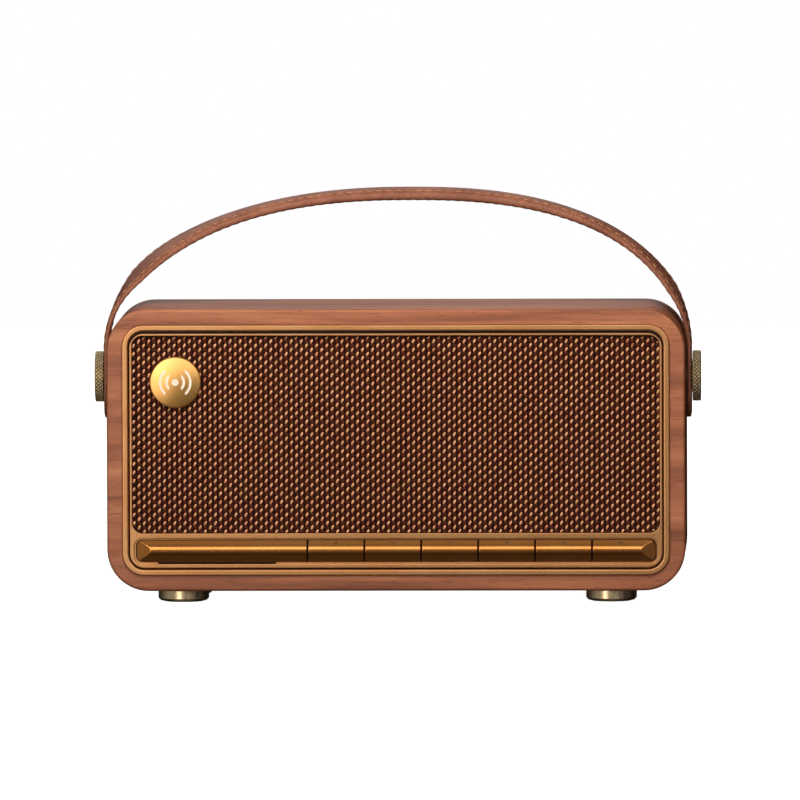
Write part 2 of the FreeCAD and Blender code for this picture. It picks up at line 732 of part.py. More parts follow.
def make_trim_bar():
    """The long fixed bar that fills the slot to the left of the keys, with two fixing pins."""
    left, right = "key_row_left", "(first_key_left - key_gap / 2)"
    cap = round_shape("trim_bar_rounded", key_cap("trim_bar", left, right, True, False),
                      DIMENSIONS["key_edge_round"], faces_forwards)
    back = f"({KEY_EDGE} + key_cap_thick)"
    pins = [
        box(f"trim_bar_foot_{i}", ("stem_width", f"({BAFFLE_FRONT} - {back})", "stem_height"),
            (x, back, "ledge_centre_z - stem_height / 2"))
        for i, x in enumerate((f"{left} + 12", f"{right} - 18"))
    ]
    node(fuse("trim_bar_moulding", cap, *pins), "trim_bar")


def make_key_board():
    """The key board with its six switch bodies."""
    holes = [
        cylinder(f"key_board_hole_{i}", "fixing_shank + 0.1", "3", (x, "key_board_y - 0.5", "ledge_centre_z"))
        for i, x in enumerate(post_places())
    ]
    board = box("key_board_blank", ("key_board_length", "board_thick", "key_board_height"),
                ("key_board_left", "key_board_y", "ledge_centre_z - key_board_height / 2"))
    node(cut("key_board_drilled", board, group("key_board_holes", holes)), "key_board")
    switches = []
    for i in range(6):
        middle = key_middle(i)
        body = box(f"switch_body_{i}", ("switch_side", "switch_depth", "switch_side"),
                   (f"{middle} - switch_side / 2", "key_board_y - switch_depth",
                    "ledge_centre_z - switch_side / 2"))
        bore = cylinder(f"switch_bore_{i}", "plunger_radius + plunger_gap", "switch_depth - 0.6",
                        (middle, "key_board_y - switch_depth", "ledge_centre_z"))
        switches.append(cut(f"switch_{i}", body, bore))
    node(group("switch_row", switches), "key_switches")


# ---------------------------------------------------------------- loudspeakers
GASKET_FRONT = BAFFLE_BACK
FLANGE_FRONT = f"({GASKET_FRONT} + gasket_thick)"
FLANGE_BACK = f"({FLANGE_FRONT} + flange_thick)"
BASKET_BACK = f"({FLANGE_BACK} + basket_length)"


def driver_basket(side, x, z, holes):
    """The pressed basket: a flange, a tapered shell with four windows, and a plate at the back."""
    flange = ring(f"{side}_flange", "driver_flange", "surround_outer", "flange_thick", (x, FLANGE_FRONT, z))
    shell = cut(
        f"{side}_basket_shell",
        cone(f"{side}_basket_outer", "driver_hole", "basket_back", "basket_length", (x, FLANGE_BACK, z)),
        cone(f"{side}_basket_inner", "driver_hole - basket_wall", "basket_back - basket_wall",
             "basket_length", (x, FLANGE_BACK, z)),
    )
    start = f"{FLANGE_BACK} + 2"
    windows = fuse(
        f"{side}_basket_windows",
        box(f"{side}_window_across", ("60", "basket_length - 4", "15"), (f"{x} - 30", start, f"{z} - 7.5")),
        box(f"{side}_window_down", ("15", "basket_length - 4", "60"), (f"{x} - 7.5", start, f"{z} - 30")),
    )
    plate = ring(f"{side}_basket_plate", "basket_back", "cone_throat + 1", "basket_wall", (x, BASKET_BACK, z))
    solid = fuse(f"{side}_basket_solid", flange, cut(f"{side}_basket_open", shell, windows), plate)
    return cut(f"{side}_basket", solid, holes)


def driver_cone(side, x, z):
    """The paper cone, its dust cap and the voice coil behind it."""
    paper = cut(
        f"{side}_cone_shell",
        cone(f"{side}_cone_outer", "cone_mouth", "cone_throat", "cone_depth", (x, FLANGE_FRONT, z)),
        cone(f"{side}_cone_inner", "cone_mouth - paper_thick", "cone_throat - paper_thick", "cone_depth",
             (x, FLANGE_FRONT, z)),
    )
    cap = cylinder(f"{side}_dust_cap", "cone_throat", "paper_thick",
                   (x, f"{FLANGE_FRONT} + cone_depth - paper_thick", z))
    coil = ring(f"{side}_voice_coil", "cone_throat - 0.4", "cone_throat - 1.2",
                "basket_length + flange_thick - cone_depth", (x, f"{FLANGE_FRONT} + cone_depth", z))
    return fuse(f"{side}_cone", paper, cap, coil)


def make_drivers():
    """Two loudspeakers. Each kind of piece is one group with the left and the right one in it."""
    pieces = {"gaskets": [], "baskets": [], "magnets": [], "cones": [], "surrounds": []}
    for side, (sign, _) in SIDES.items():
        x, z = f"{sign}driver_x", "driver_z"
        holes = group(f"{side}_flange_holes", [
            cylinder(f"{side}_flange_hole_{i}", "fixing_shank + 0.1", "5",
                     (f"{x} + {dx}", f"{GASKET_FRONT} - 1", f"{z} + {dz}"))
            for i, (dx, dz) in enumerate(driver_screw_spots())
        ])
        blank = ring(f"{side}_gasket_ring", "driver_flange", "driver_hole", "gasket_thick",
                     (x, GASKET_FRONT, z))
        pieces["gaskets"].append(cut(f"{side}_gasket", blank, holes))
        pieces["baskets"].append(driver_basket(side, x, z, holes))
        pieces["magnets"].append(cylinder(f"{side}_magnet", "magnet_radius", "magnet_length",
                                          (x, f"{BASKET_BACK} + basket_wall", z)))
        pieces["cones"].append(driver_cone(side, x, z))
        pieces["surrounds"].append(ring(f"{side}_surround", "surround_outer", "cone_mouth", "surround_thick",
                                        (x, FLANGE_FRONT, z)))
    for kind, pair in pieces.items():
        node(group(f"{kind}_pair", pair), f"driver_{kind}")


# ---------------------------------------------------------------- rear panel
def make_rear_panel():
    """The rear panel, with the passive radiator's opening and the cut-outs for the sockets."""
    panel = slab("rear_panel_blank", "cabinet_width - 2 * rear_rim - 4 * fit_gap",
                 "cabinet_height - 2 * rear_rim - 4 * fit_gap", "cabinet_corner - rear_rim - fit_gap",
                 "rear_panel_thick", ("0", PANEL_FRONT, CENTRE_Z))
    before = f"({PANEL_FRONT} - 1)"
    holes = [cylinder("radiator_hole", "radiator_opening", "6", ("0", before, "radiator_z"))]
    holes.append(cylinder("jack_hole", "jack_barrel + fit_gap", "6", ("jack_x", before, "socket_z")))
    holes.append(slab("usb_hole", "usb_width + 0.5", "usb_height + 0.5", "usb_corner + 0.25", "6",
                      ("usb_x", before, "socket_z")))
    holes.append(slab("card_hole", "card_width + 0.4", "card_height + 0.4", "card_corner + 0.3", "6",
                      ("card_x", before, "socket_z")))
    for i, (sx, sz) in enumerate(CORNERS):
        x, z = f"{sx}{BATTEN_X}", f"{CENTRE_Z} + {sz or '+'}{BATTEN_Z}"
        holes.append(cylinder(f"rear_screw_hole_{i}", "fixing_shank + 0.1", "6", (x, before, z)))
        holes.append(cylinder(f"rear_screw_seat_{i}", "fixing_head + 0.2", "3",
                              (x, f"{PANEL_BACK} - fixing_head_thick", z)))
    node(cut("rear_panel_pierced", panel, group("rear_panel_holes", holes)), "rear_panel")


def make_radiator():
    """The passive radiator behind the rear grille: frame, rubber surround and weighted plate."""
    y, z = PANEL_FRONT, "radiator_z"
    node(ring("radiator_frame_ring", "radiator_frame", "radiator_opening - 1", "radiator_frame_thick",
              ("0", f"({y} - radiator_frame_thick)", z)), "radiator_frame")
    node(ring("radiator_surround_ring", "radiator_opening - 1", "radiator_plate", "radiator_surround_thick",
              ("0", f"({y} - 2)", z)), "radiator_surround")
    node(cylinder("radiator_plate_disc", "radiator_plate", "radiator_plate_thick", ("0", f"({y} - 2.2)", z)),
         "radiator_plate")


def make_rear_grille():
    """The pressed metal grille over the radiator, pierced by rings of round holes."""
    base = PANEL_BACK
    z = "radiator_z"
    outer = cone("rear_grille_outer", "rear_grille_radius", "rear_grille_radius - 2", "rear_grille_rise",
                 ("0", base, z))
    inner = cone("rear_grille_inner", "rear_grille_radius - rear_grille_wall - 0.5",
                 "rear_grille_radius - 2 - rear_grille_wall - 0.5", "rear_grille_rise - rear_grille_wall",
                 ("0", base, z))
    holes = [cylinder("rear_grille_hole_centre", "rear_grille_hole", "6", ("0", base, z))]
    ring_step = 5.0
    for n in range(1, 7):
        for k in range(6 * n):
            angle = 2 * math.pi * k / (6 * n)
            dx, dz = ring_step * n * math.cos(angle), ring_step * n * math.sin(angle)
            holes.append(cylinder(f"rear_grille_hole_{n}_{k}", "rear_grille_hole", "6",
                                  (f"{dx:.4f}", base, f"{z} + ({dz:.4f})")))
    dish = cut("rear_grille_dish", outer, inner)
    node(cut("rear_grille_pierced", dish, group("rear_grille_holes", holes)), "rear_grille")


# ---------------------------------------------------------------- electronics
def make_main_board():
    """The main board with its chips, and the three sockets that reach the rear panel."""
    y = "main_board_y"
    board = box("main_board_blank", ("main_board_length", "board_thick", "main_board_height"),
                ("main_board_x", y, "main_board_z"))
    node(board, "main_board")
    front = y
    parts = [
        box("chip_amplifier", ("10", "1.2", "10"),
            ("main_board_x + 8", f"{front} - 1.2", "main_board_z + 24")),
        box("chip_radio", ("12", "2", "15"), ("main_board_x + 40", f"{front} - 2", "main_board_z + 22")),
        box("coil_left", ("7", "4", "7"), ("main_board_x + 22", f"{front} - 4", "main_board_z + 30")),
        box("coil_right", ("7", "4", "7"), ("main_board_x + 31", f"{front} - 4", "main_board_z + 30")),
        cylinder("capacitor_left", "3.2", "9", ("main_board_x + 26", f"{front}", "main_board_z + 20"), "-Y"),
        cylinder("capacitor_right", "3.2", "9", ("main_board_x + 34", f"{front}", "main_board_z + 20"), "-Y"),
    ]
    node(group("main_board_pieces", parts), "board_components")
    rear = f"({y} + board_thick)"
    outside = f"({PANEL_BACK} - 0.2)"
    reach = f"({outside} - {rear})"
    shell = slab("usb_shell", "usb_width", "usb_height", "usb_corner", reach, ("usb_x", rear, "socket_z"))
    opening(shell, "usb_mouth", "usb_width - 2 * usb_wall", "usb_height - 2 * usb_wall",
            "usb_corner - usb_wall", depth=f"{reach} - 1.5", back=reach, forwards=True)
    tongue = box("usb_tongue", ("usb_tongue_width", f"{reach} - 2", "usb_tongue_thick"),
                 ("usb_x - usb_tongue_width / 2", f"{rear} + 1", "socket_z - usb_tongue_thick / 2"))
    node(fuse("usb_solid", shell, tongue), "usb_socket")
    body = box("jack_block", ("jack_body_width", f"({PANEL_FRONT} - {rear} - fit_gap)", "jack_body_height"),
               ("jack_x - jack_body_width / 2", rear, "socket_z - jack_body_height / 2"))
    barrel = cylinder("jack_nose", "jack_barrel", f"({outside} - {rear} - 1)",
                      ("jack_x", f"{rear} + 1", "socket_z"))
    bore = cylinder("jack_hole_bore", "jack_bore", "jack_bore_length", ("jack_x", outside, "socket_z"), "-Y")
    node(cut("jack_bored", fuse("jack_solid", body, barrel), bore), "audio_jack")
    case = slab("card_case", "card_width", "card_height", "card_corner", reach,
                ("card_x", rear, "socket_z"))
    opening(case, "card_mouth", "card_mouth_width", "card_mouth_height", "0.1", depth=f"{reach} - 1",
            back=reach, forwards=True)
    node(case, "card_socket")


def make_battery():
    """Two round cells side by side in a tray on the cabinet's floor."""
    z = f"({INNER_FLOOR} + cell_floor + cell_radius)"
    cells = [
        cylinder(f"cell_{name}", "cell_radius", "cell_length", ("-cell_length / 2", y, z), "+X")
        for name, y in (("front", "cell_front_y"), ("rear", "cell_rear_y"))
    ]
    node(group("cell_pair", cells), "battery_cells")
    length = "(cell_length + 5)"
    front = "(cell_front_y - cell_radius - 1)"
    deep = "(cell_rear_y - cell_front_y + 2 * cell_radius + 2)"
    floor = box("tray_floor", (length, deep, "cell_floor - fit_gap"), (f"-{length} / 2", front, INNER_FLOOR))
    ends = [
        box(f"tray_end_{side}", ("2.3", deep, "13"), (x, front, INNER_FLOOR))
        for side, x in (("left", f"-{length} / 2"), ("right", f"{length} / 2 - 2.3"))
    ]
    node(fuse("tray_solid", floor, *ends), "battery_tray")


def lead(name, points, radius):
    """A round insulated lead along straight runs joined by tangent arcs, as one solid."""
    corners = [Vector(*p) for p in points]
    edges, start = [], corners[0]
    for before, corner, after in zip(corners, corners[1:], corners[2:]):
        run_in, run_out = (before - corner), (after - corner)
        trim = 0.45 * min(run_in.Length, run_out.Length)
        enter = corner + Vector(run_in).normalize() * trim
        leave = corner + Vector(run_out).normalize() * trim
        half_turn = run_in.getAngle(run_out) / 2
        bend = trim * math.tan(half_turn)
        centre_way = (Vector(run_in).normalize() + Vector(run_out).normalize()).normalize()
        middle = corner + centre_way * (bend / math.sin(half_turn) - bend)
        edges += [Part.LineSegment(start, enter).toShape(), Part.Arc(enter, middle, leave).toShape()]
        start = leave
    edges.append(Part.LineSegment(start, corners[-1]).toShape())
    path = Part.Wire(edges)
    direction = corners[1] - corners[0]
    section = Part.Wire([Part.makeCircle(radius, corners[0], direction)])
    thing = DOC.addObject("Part::Feature", name)
    thing.Shape = path.makePipeShell([section], True, True)
    expected = math.pi * radius ** 2 * path.Length
    print(f"{name}: length {path.Length:.1f}, volume {thing.Shape.Volume:.1f}, expected {expected:.1f}")
    return thing


def size(alias):
    """A driving dimension's value, read from its cell."""
    return float(SHEET.get(alias))


def make_leads():
    """The leads inside: one from each loudspeaker to the main board, and one from the battery."""
    radius = size("lead_radius")
    board_y = size("main_board_y")
    first_x = size("main_board_x") + 5
    first_z = size("main_board_z") + 4
    coil_y = (-size("cabinet_depth") / 2 + size("front_rabbet") - size("fit_gap") + size("gasket_thick")
              + size("flange_thick") + size("basket_length") + 4)
    magnet_edge = size("driver_x") - size("magnet_radius")
    height = size("driver_z")
    left = lead("left_lead", [
        (-magnet_edge, coil_y, height), (-magnet_edge + 14, coil_y, height), (-16, -2, 56), (10, 6, 50),
        (34, 12, 48), (first_x, 12, first_z + 16), (first_x, board_y, first_z + 16),
    ], radius)
    right = lead("right_lead", [
        (magnet_edge, coil_y, height), (magnet_edge - 8, coil_y, height), (magnet_edge - 6, -2, 52),
        (first_x, 8, first_z + 11), (first_x, board_y, first_z + 11),
    ], radius)
    cell_z = size("foot_height") + size("cabinet_wall") + size("cell_floor") + size("cell_radius") - 2
    tray_end = size("cell_length") / 2 + 2.5
    between = (size("cell_front_y") + size("cell_rear_y")) / 2
    battery = lead("battery_lead_wire", [
        (tray_end, between, cell_z), (tray_end + 10, between, cell_z), (first_x, between + 3, first_z),
        (first_x, board_y, first_z),
    ], radius)
    node(group("speaker_lead_pair", [left, right]), "speaker_leads")
    node(battery, "battery_lead")


# ---------------------------------------------------------------- fixings
def fixing(name, at, along, length="fixing_length"):
    """A pan-head screw: at is the underside of its head, and along is the way it is driven."""
    x, y, z = at
    head_start, drive_start = {
        "+Y": ((x, f"{y} - fixing_head_thick", z), (x, f"{y} - fixing_head_thick", z)),
        "-Y": ((x, y, z), (x, f"{y} + fixing_head_thick - 0.8", z)),
        "+Z": ((x, y, f"{z} - fixing_head_thick"), (x, y, f"{z} - fixing_head_thick")),
    }[along]
    head_way = "+Z" if along == "+Z" else "+Y"
    head = cylinder(name + "_head", "fixing_head", "fixing_head_thick", head_start, head_way)
    shank = cylinder(name + "_shank", "fixing_shank", length, at, along)
    drive = cylinder(name + "_drive", "fixing_head * 0.42", "0.8", drive_start, head_way)
    return cut(name, fuse(name + "_solid", head, shank), drive)


def make_fixings():
    """Every screw, each kind as a group of identical solids."""
    rear, front = [], []
    for i, (sx, sz) in enumerate(CORNERS):
        x, z = f"{sx}{BATTEN_X}", f"{CENTRE_Z} + {sz or '+'}{BATTEN_Z}"
        front.append(fixing(f"baffle_fixing_{i}", (x, f"({BAFFLE_FRONT} + fixing_head_thick)", z), "+Y"))
        rear.append(fixing(f"rear_fixing_{i}", (x, f"({PANEL_BACK} - fixing_head_thick)", z), "-Y"))
    node(group("baffle_fixings", front), "baffle_screws")
    node(group("rear_fixings", rear), "rear_panel_screws")
    speaker = []
    for side, (sign, _) in SIDES.items():
        for i, (dx, dz) in enumerate(driver_screw_spots()):
            speaker.append(fixing(f"{side}_driver_fixing_{i}",
                                  (f"{sign}driver_x + {dx}", FLANGE_BACK, f"driver_z + {dz}"), "-Y",
                                  "gasket_thick + flange_thick + baffle_thick - 1"))
    node(group("driver_fixings", speaker), "driver_screws")
    board = [
        fixing(f"key_board_fixing_{i}", (x, "(key_board_y + board_thick)", "ledge_centre_z"), "-Y",
               "fixing_length - 2")
        for i, x in enumerate(post_places())
    ]
    node(group("board_fixings", board), "key_board_screws")


def make_feet():
    """Four metal feet, each with a bevelled rim, a neck, a rubber pad and a screw."""
    cups, pads, screws = [], [], []
    for i, (sx, sy) in enumerate(FOOT_SPOTS):
        x, y = f"{sx}foot_x", f"{sy}foot_y"
        rim = "(pad_proud + foot_bevel)"
        bevel = cone(f"foot_bevel_{i}", "foot_radius - foot_bevel", "foot_radius", "foot_bevel",
                     (x, y, "pad_proud"), "+Z")
        wall = cylinder(f"foot_wall_{i}", "foot_radius", f"(foot_height - foot_neck - {rim})",
                        (x, y, rim), "+Z")
        neck = cylinder(f"foot_neck_{i}", "foot_radius - 1.2", "foot_neck",
                        (x, y, "foot_height - foot_neck"), "+Z")
        seat = cylinder(f"pad_seat_{i}", "pad_radius", "pad_thick - pad_proud", (x, y, "pad_proud"), "+Z")
        well = cylinder(f"screw_well_{i}", "fixing_head + 0.2", "fixing_head_thick + 0.1",
                        (x, y, "pad_thick"), "+Z")
        hole = cylinder(f"foot_screw_hole_{i}", "fixing_shank + 0.1", "foot_height", (x, y, "0"), "+Z")
        solid = fuse(f"foot_solid_{i}", bevel, wall, neck)
        cups.append(cut(f"foot_{i}", solid, fuse(f"foot_hollow_{i}", seat, well, hole)))
        pads.append(cylinder(f"pad_{i}", "pad_radius", "pad_thick", (x, y, "0"), "+Z"))
        screws.append(fixing(f"foot_fixing_{i}", (x, y, "(pad_thick + fixing_head_thick + 0.1)"), "+Z",
                             "fixing_length - 1"))
    node(group("feet_group", cups), "feet")
    node(group("pads_group", pads), "foot_pads")
    node(group("foot_fixings", screws), "foot_screws")


# ---------------------------------------------------------------- strap handle
def arch_points(half_width, rise, count=31):
    """Points of the strap's arch, from its left springing to its right: a rounded arch that leans
    a little to the right towards its top."""
    points = []
    for n in range(count):
        angle = math.pi * (1 - n / (count - 1))
        across = math.copysign(abs(math.cos(angle)) ** (2 / size("strap_roundness_across")), math.cos(angle))
        up = abs(math.sin(angle)) ** (2 / size("strap_roundness_up")) if 0 < n < count - 1 else 0.0
        x = half_width * across + size("strap_lean") * up ** size("strap_lean_power")
        points.append(Vector(x, 0, size("strap_spring_z") + rise * up))
    return points


def make_strap():
    """The leather strap: an arch that is thickest at the top, with a round-ended tab on each side
    of the cabinet and a hole for the thumb screw."""
    inner = size("cabinet_width") / 2 + size("strap_gap")
    outer = inner + size("strap_tab_thick")
    width = size("strap_width")
    rise = size("strap_top_z") - size("strap_spring_z")
    end_centre = size("pivot_z") - size("strap_tab_drop")
    foot = end_centre - width

    def arch(half_width, height):
        curve = Part.BSplineCurve()
        curve.interpolate(Points=arch_points(half_width, height))
        return curve.toShape()

    def straight(x, z, to_x, to_z):
        return Part.LineSegment(Vector(x, 0, z), Vector(to_x, 0, to_z)).toShape()

    spring = size("strap_spring_z")
    outline = Part.Wire([
        straight(-outer, foot, -outer, spring), arch(outer, rise), straight(outer, spring, outer, foot),
        straight(outer, foot, inner, foot), straight(inner, foot, inner, spring),
        arch(inner, rise - size("strap_top_thick")), straight(-inner, spring, -inner, foot),
        straight(-inner, foot, -outer, foot),
    ])
    blank = Part.Face(outline).extrude(Vector(0, 2 * width, 0))
    blank.translate(Vector(0, -width, 0))
    reach = 2 * outer + 20
    left_edge, right_edge, far = -width / 2, width / 2, size("strap_top_z") + width
    side_view = Part.Wire([
        Part.LineSegment(Vector(0, left_edge, end_centre), Vector(0, left_edge, far)).toShape(),
        Part.LineSegment(Vector(0, left_edge, far), Vector(0, right_edge, far)).toShape(),
        Part.LineSegment(Vector(0, right_edge, far), Vector(0, right_edge, end_centre)).toShape(),
        Part.Arc(Vector(0, right_edge, end_centre), Vector(0, 0, end_centre - width / 2),
                 Vector(0, left_edge, end_centre)).toShape(),
    ])
    limits = Part.Face(side_view).extrude(Vector(reach, 0, 0))
    limits.translate(Vector(-reach / 2, 0, 0))
    strap = blank.common(limits)
    pivot = Vector(-reach / 2, 0, size("pivot_z"))
    bore = Part.makeCylinder(size("strap_hole"), reach, pivot, Vector(1, 0, 0))
    thing = DOC.addObject("Part::Feature", "strap_leather")
    thing.Shape = strap.cut(bore)
    thing.Placement = Placement()
    node(thing, "handle_strap")


def make_thumb_screw(side, sign, outward):
    """The thumb screw of one side, the washer under its head and the insert it screws into."""
    inward = "-X" if outward == "+X" else "+X"
    axis = ("0", "pivot_z")
    strap_face = f"({SIDE} + strap_gap + strap_tab_thick)"
    washer_x = f"({strap_face} + washer_gap)"
    head_x = f"({strap_face} + screw_head_gap)"
    seat_x = f"({washer_x} + washer_thick + washer_gap)"

    def spot(x):
        return (f"{sign}{x}", *axis)

    node(ring(f"{side}_washer_ring", "washer_radius", "screw_shank + 0.3", "washer_thick",
              spot(washer_x), outward), f"{side}_washer")
    grip = cylinder(f"{side}_head_grip", "screw_head_radius",
                    f"(screw_head_face - {head_x} - screw_head_chamfer)", spot(head_x), outward)
    bevel = cone(f"{side}_head_bevel", "screw_head_radius", "screw_head_radius - screw_head_chamfer",
                 "screw_head_chamfer", spot("(screw_head_face - screw_head_chamfer)"), outward)
    seat = cylinder(f"{side}_head_seat", "washer_radius + 0.3", f"({seat_x} - {head_x})",
                    spot(head_x), outward)
    shank = cylinder(f"{side}_shank", "screw_shank", f"({seat_x} + 1 - shank_end_x)",
                     spot("shank_end_x"), outward)
    head = cut(f"{side}_head", fuse(f"{side}_head_blank", grip, bevel), seat)
    node(fuse(f"{side}_screw_solid", head, shank), f"{side}_thumb_screw")
    blank = cylinder(f"{side}_insert_blank", "insert_radius", "insert_length", spot(SIDE), inward)
    bore = cylinder(f"{side}_insert_bore", "insert_bore", "insert_length", spot(SIDE), inward)
    return cut(f"{side}_insert", blank, bore)


# ---------------------------------------------------------------- the whole radio
make_cabinet()
make_battens()
make_bezel()
make_baffle()
make_grille_frame()
make_grille()
make_badge()
make_keys()
make_trim_bar()
make_key_board()
make_drivers()
make_rear_panel()
make_radiator()
make_rear_grille()
make_main_board()
make_battery()
make_leads()
make_fixings()
make_feet()
make_strap()
inserts = [make_thumb_screw(name, sign, outward) for name, (sign, outward) in SIDES.items()]
node(group("insert_pair", inserts), "threaded_inserts")
DOC.recompute()

failed = [o.Label for o in DOC.Objects if "Invalid" in o.State or "Error" in o.State]
failed += [o.Label for o in NODES if o.Shape.isNull() or not o.Shape.isValid() or not o.Shape.Solids]
if failed:
    raise RuntimeError(f"these objects failed: {failed}")

os.makedirs("parts", exist_ok=True)
for thing in NODES:
    thing.Shape.exportStep(os.path.join("parts", thing.Label + ".step"))
    limits = thing.Shape.BoundBox
    print(f"{thing.Label:22s} solids {len(thing.Shape.Solids):2d} volume {thing.Shape.Volume:10.1f} "
          f"x {limits.XMin:7.2f} {limits.XMax:7.2f} y {limits.YMin:7.2f} {limits.YMax:7.2f} "
          f"z {limits.ZMin:7.2f} {limits.ZMax:7.2f}")
print(len(NODES), "sub-parts")
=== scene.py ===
# %% [markdown]
# # A portable radio in walnut, gilt trim and leather
# The working parts come from the CAD frame, in metres: the cabinet, the trim, the keys, the
# loudspeakers and every screw. This lesson gives each of them its real finish, and it makes again
# the four things that a plain solid can't show: the woven grille, the padded strap with its
# stitches, the knurled thumb screws, and the small marks printed on the keys.
#
# The radio faces -Y, +X is to the right of someone who looks at its grille, and it stands on z = 0.

# %% Load the frame
import bmesh
import bpy
import math
from mathutils import Matrix, Vector


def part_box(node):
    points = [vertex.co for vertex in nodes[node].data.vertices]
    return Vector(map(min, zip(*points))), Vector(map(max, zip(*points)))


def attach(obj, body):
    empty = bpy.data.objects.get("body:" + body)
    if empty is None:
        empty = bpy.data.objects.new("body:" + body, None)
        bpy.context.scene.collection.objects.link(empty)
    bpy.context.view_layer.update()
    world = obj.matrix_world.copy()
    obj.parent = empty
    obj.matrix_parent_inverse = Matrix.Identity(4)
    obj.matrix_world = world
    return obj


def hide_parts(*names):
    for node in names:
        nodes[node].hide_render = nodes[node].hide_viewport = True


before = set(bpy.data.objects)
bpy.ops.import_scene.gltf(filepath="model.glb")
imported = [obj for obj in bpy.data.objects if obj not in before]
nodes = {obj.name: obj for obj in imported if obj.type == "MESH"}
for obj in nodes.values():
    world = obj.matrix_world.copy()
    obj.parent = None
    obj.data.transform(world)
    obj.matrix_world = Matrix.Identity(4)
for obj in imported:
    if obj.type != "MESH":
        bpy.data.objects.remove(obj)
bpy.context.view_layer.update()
MM = 0.001

# %% [markdown]
# ## The camera
# The radio is seen almost square on, from far away with a long lens, so that its top is a thin
# strip and its two sides hardly show. The camera stands a little to the right of the middle and a
# little above it. It aims at a point on the grille, which is the surest way to keep the object
# where it belongs in the picture when the distance changes.

# %% Camera
front_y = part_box("cabinet")[0].y
aim = Vector((0.0019, front_y, 0.0882))
distance, focal_length = 6.81, 709.7
turn, tilt, roll = math.radians(1.7), math.radians(3.69), math.radians(-0.2)
away = Vector((math.sin(turn) * math.cos(tilt), -math.cos(turn) * math.cos(tilt), math.sin(tilt)))
camera_data = bpy.data.cameras.new("studio_camera")
camera_data.sensor_width = 36.0
camera_data.lens = focal_length
camera_data.clip_end = 100.0
camera = bpy.data.objects.new("studio_camera", camera_data)
camera.location = aim + distance * away
camera.rotation_mode = "QUATERNION"
level = (-away).to_track_quat("-Z", "Y")
camera.rotation_quaternion = level @ Matrix.Rotation(roll, 3, "Z").to_quaternion()
bpy.context.scene.collection.objects.link(camera)
bpy.context.scene.camera = camera
print("camera", [round(v, 3) for v in camera.location], "lens", camera_data.lens)

# %% [markdown]
# ## Light for wood and metal
# Metal shows its surroundings and little else, so the room matters more than the lamps. The sky's
# brightness is a product of three ramps. By height it is even near the horizon and dark below it,
# which draws the dark lower half of each polished key. From left to right it changes in bands, which
# the round feet and screws pick up. From front to back it dims, because the cabinet's top mirrors
# what is behind the radio at a shallow angle. The camera itself sees plain white.

# %% One colour function and one node function
def tone(hex_code):
    """A colour written as sRGB hex, as the linear RGBA that a shader wants."""
    parts = [int(hex_code[i:i + 2], 16) / 255 for i in (1, 3, 5)]
    linear = [c / 12.92 if c <= 0.04045 else ((c + 0.055) / 1.055) ** 2.4 for c in parts]
    return (*linear, 1.0)


def add(tree, kind, inputs=None, out=0, stops=(), **settings):
    """Adds a shader node and gives back one of its outputs, or None where it has none.

    An input is a number, a colour or another node's output. The stops are places and hex colours
    along a colour ramp, and the settings are the node's own properties.
    """
    made = tree.nodes.new("ShaderNode" + kind)
    for name, value in settings.items():
        setattr(made, name, value)
    for name, value in (inputs or {}).items():
        if isinstance(value, bpy.types.NodeSocket):
            tree.links.new(value, made.inputs[name])
        else:
            made.inputs[name].default_value = value
    if stops:
        elements = made.color_ramp.elements
        while len(elements) < len(stops):
            elements.new(0.5)
        for element, (place, colour) in zip(elements, stops):
            element.position = place
            element.color = tone(colour)
    return made.outputs[out] if made.outputs else None


print("a mid grey in linear light:", [round(c, 3) for c in tone("#808080")])

# %% Sky
world = bpy.data.worlds.new("studio")
world.use_nodes = True
bpy.context.scene.world = world
bpy.context.scene.view_settings.view_transform = "Standard"
sky = world.node_tree
sky.nodes.clear()
# Each ramp runs from -1 to 1 along its axis of the sky.
by_height = [(-1.0, "#8a857f"), (-0.85, "#5b554f"), (-0.6, "#453e38"), (-0.25, "#7c766f"), (-0.05, "#98928b"),
             (0.25, "#aaa49e"), (0.5, "#a29c96"), (0.8, "#a8a29c"), (1.0, "#dedad5")]
by_side = [(-0.75, "#ffffff"), (-0.2, "#e8e6e4"), (0.35, "#c9c6c3"), (0.5, "#ffffff"),
           (0.62, "#3b3734"), (0.74, "#e8e4e0"), (0.84, "#24211f"), (1.0, "#8c8884")]
by_depth = [(-0.4, "#ffffff"), (0.4, "#6c6863"), (0.9, "#4a4642")]
room_strength = 0.94
direction = add(sky, "TexCoord", out="Generated")
across, ahead, up = add(sky, "SeparateXYZ", {"Vector": direction}).node.outputs
shades = (1.0, 1.0, 1.0, 1.0)
for axis, levels in ((up, by_height), (across, by_side), (ahead, by_depth)):
    place = add(sky, "MapRange", {"Value": axis, "From Min": -1.0, "From Max": 1.0})
    shade = add(sky, "ValToRGB", {"Fac": place}, stops=[((at + 1) / 2, colour) for at, colour in levels])
    shades = add(sky, "Mix", {"Factor": 1.0, 6: shades, 7: shade}, out=2, data_type="RGBA",
                 blend_type="MULTIPLY")
seen = add(sky, "LightPath", out="Is Camera Ray")
lit = add(sky, "Background", {"Color": shades, "Strength": room_strength})
plain = add(sky, "Background", {"Color": (1, 1, 1, 1), "Strength": 1.0})
either = add(sky, "MixShader", {0: seen, 1: lit, 2: plain})
add(sky, "OutputWorld", {"Surface": either})
print("the sky has", len(sky.nodes), "nodes")

# %% [markdown]
# ## Lamps and floor
# Area lamps are the softboxes of a portrait studio. The one at the front left brightens the
# left of the trim, the high one draws the bright line along the ridge of each key, and the fill
# opens the right side. The one behind lifts the top. A strip close above the front edge lights the
# wood from the top down. It is kept out of reflections, or it would burn a line along the keys.

# %% Lamps
radio_middle = Vector((0, 0, 0.08))


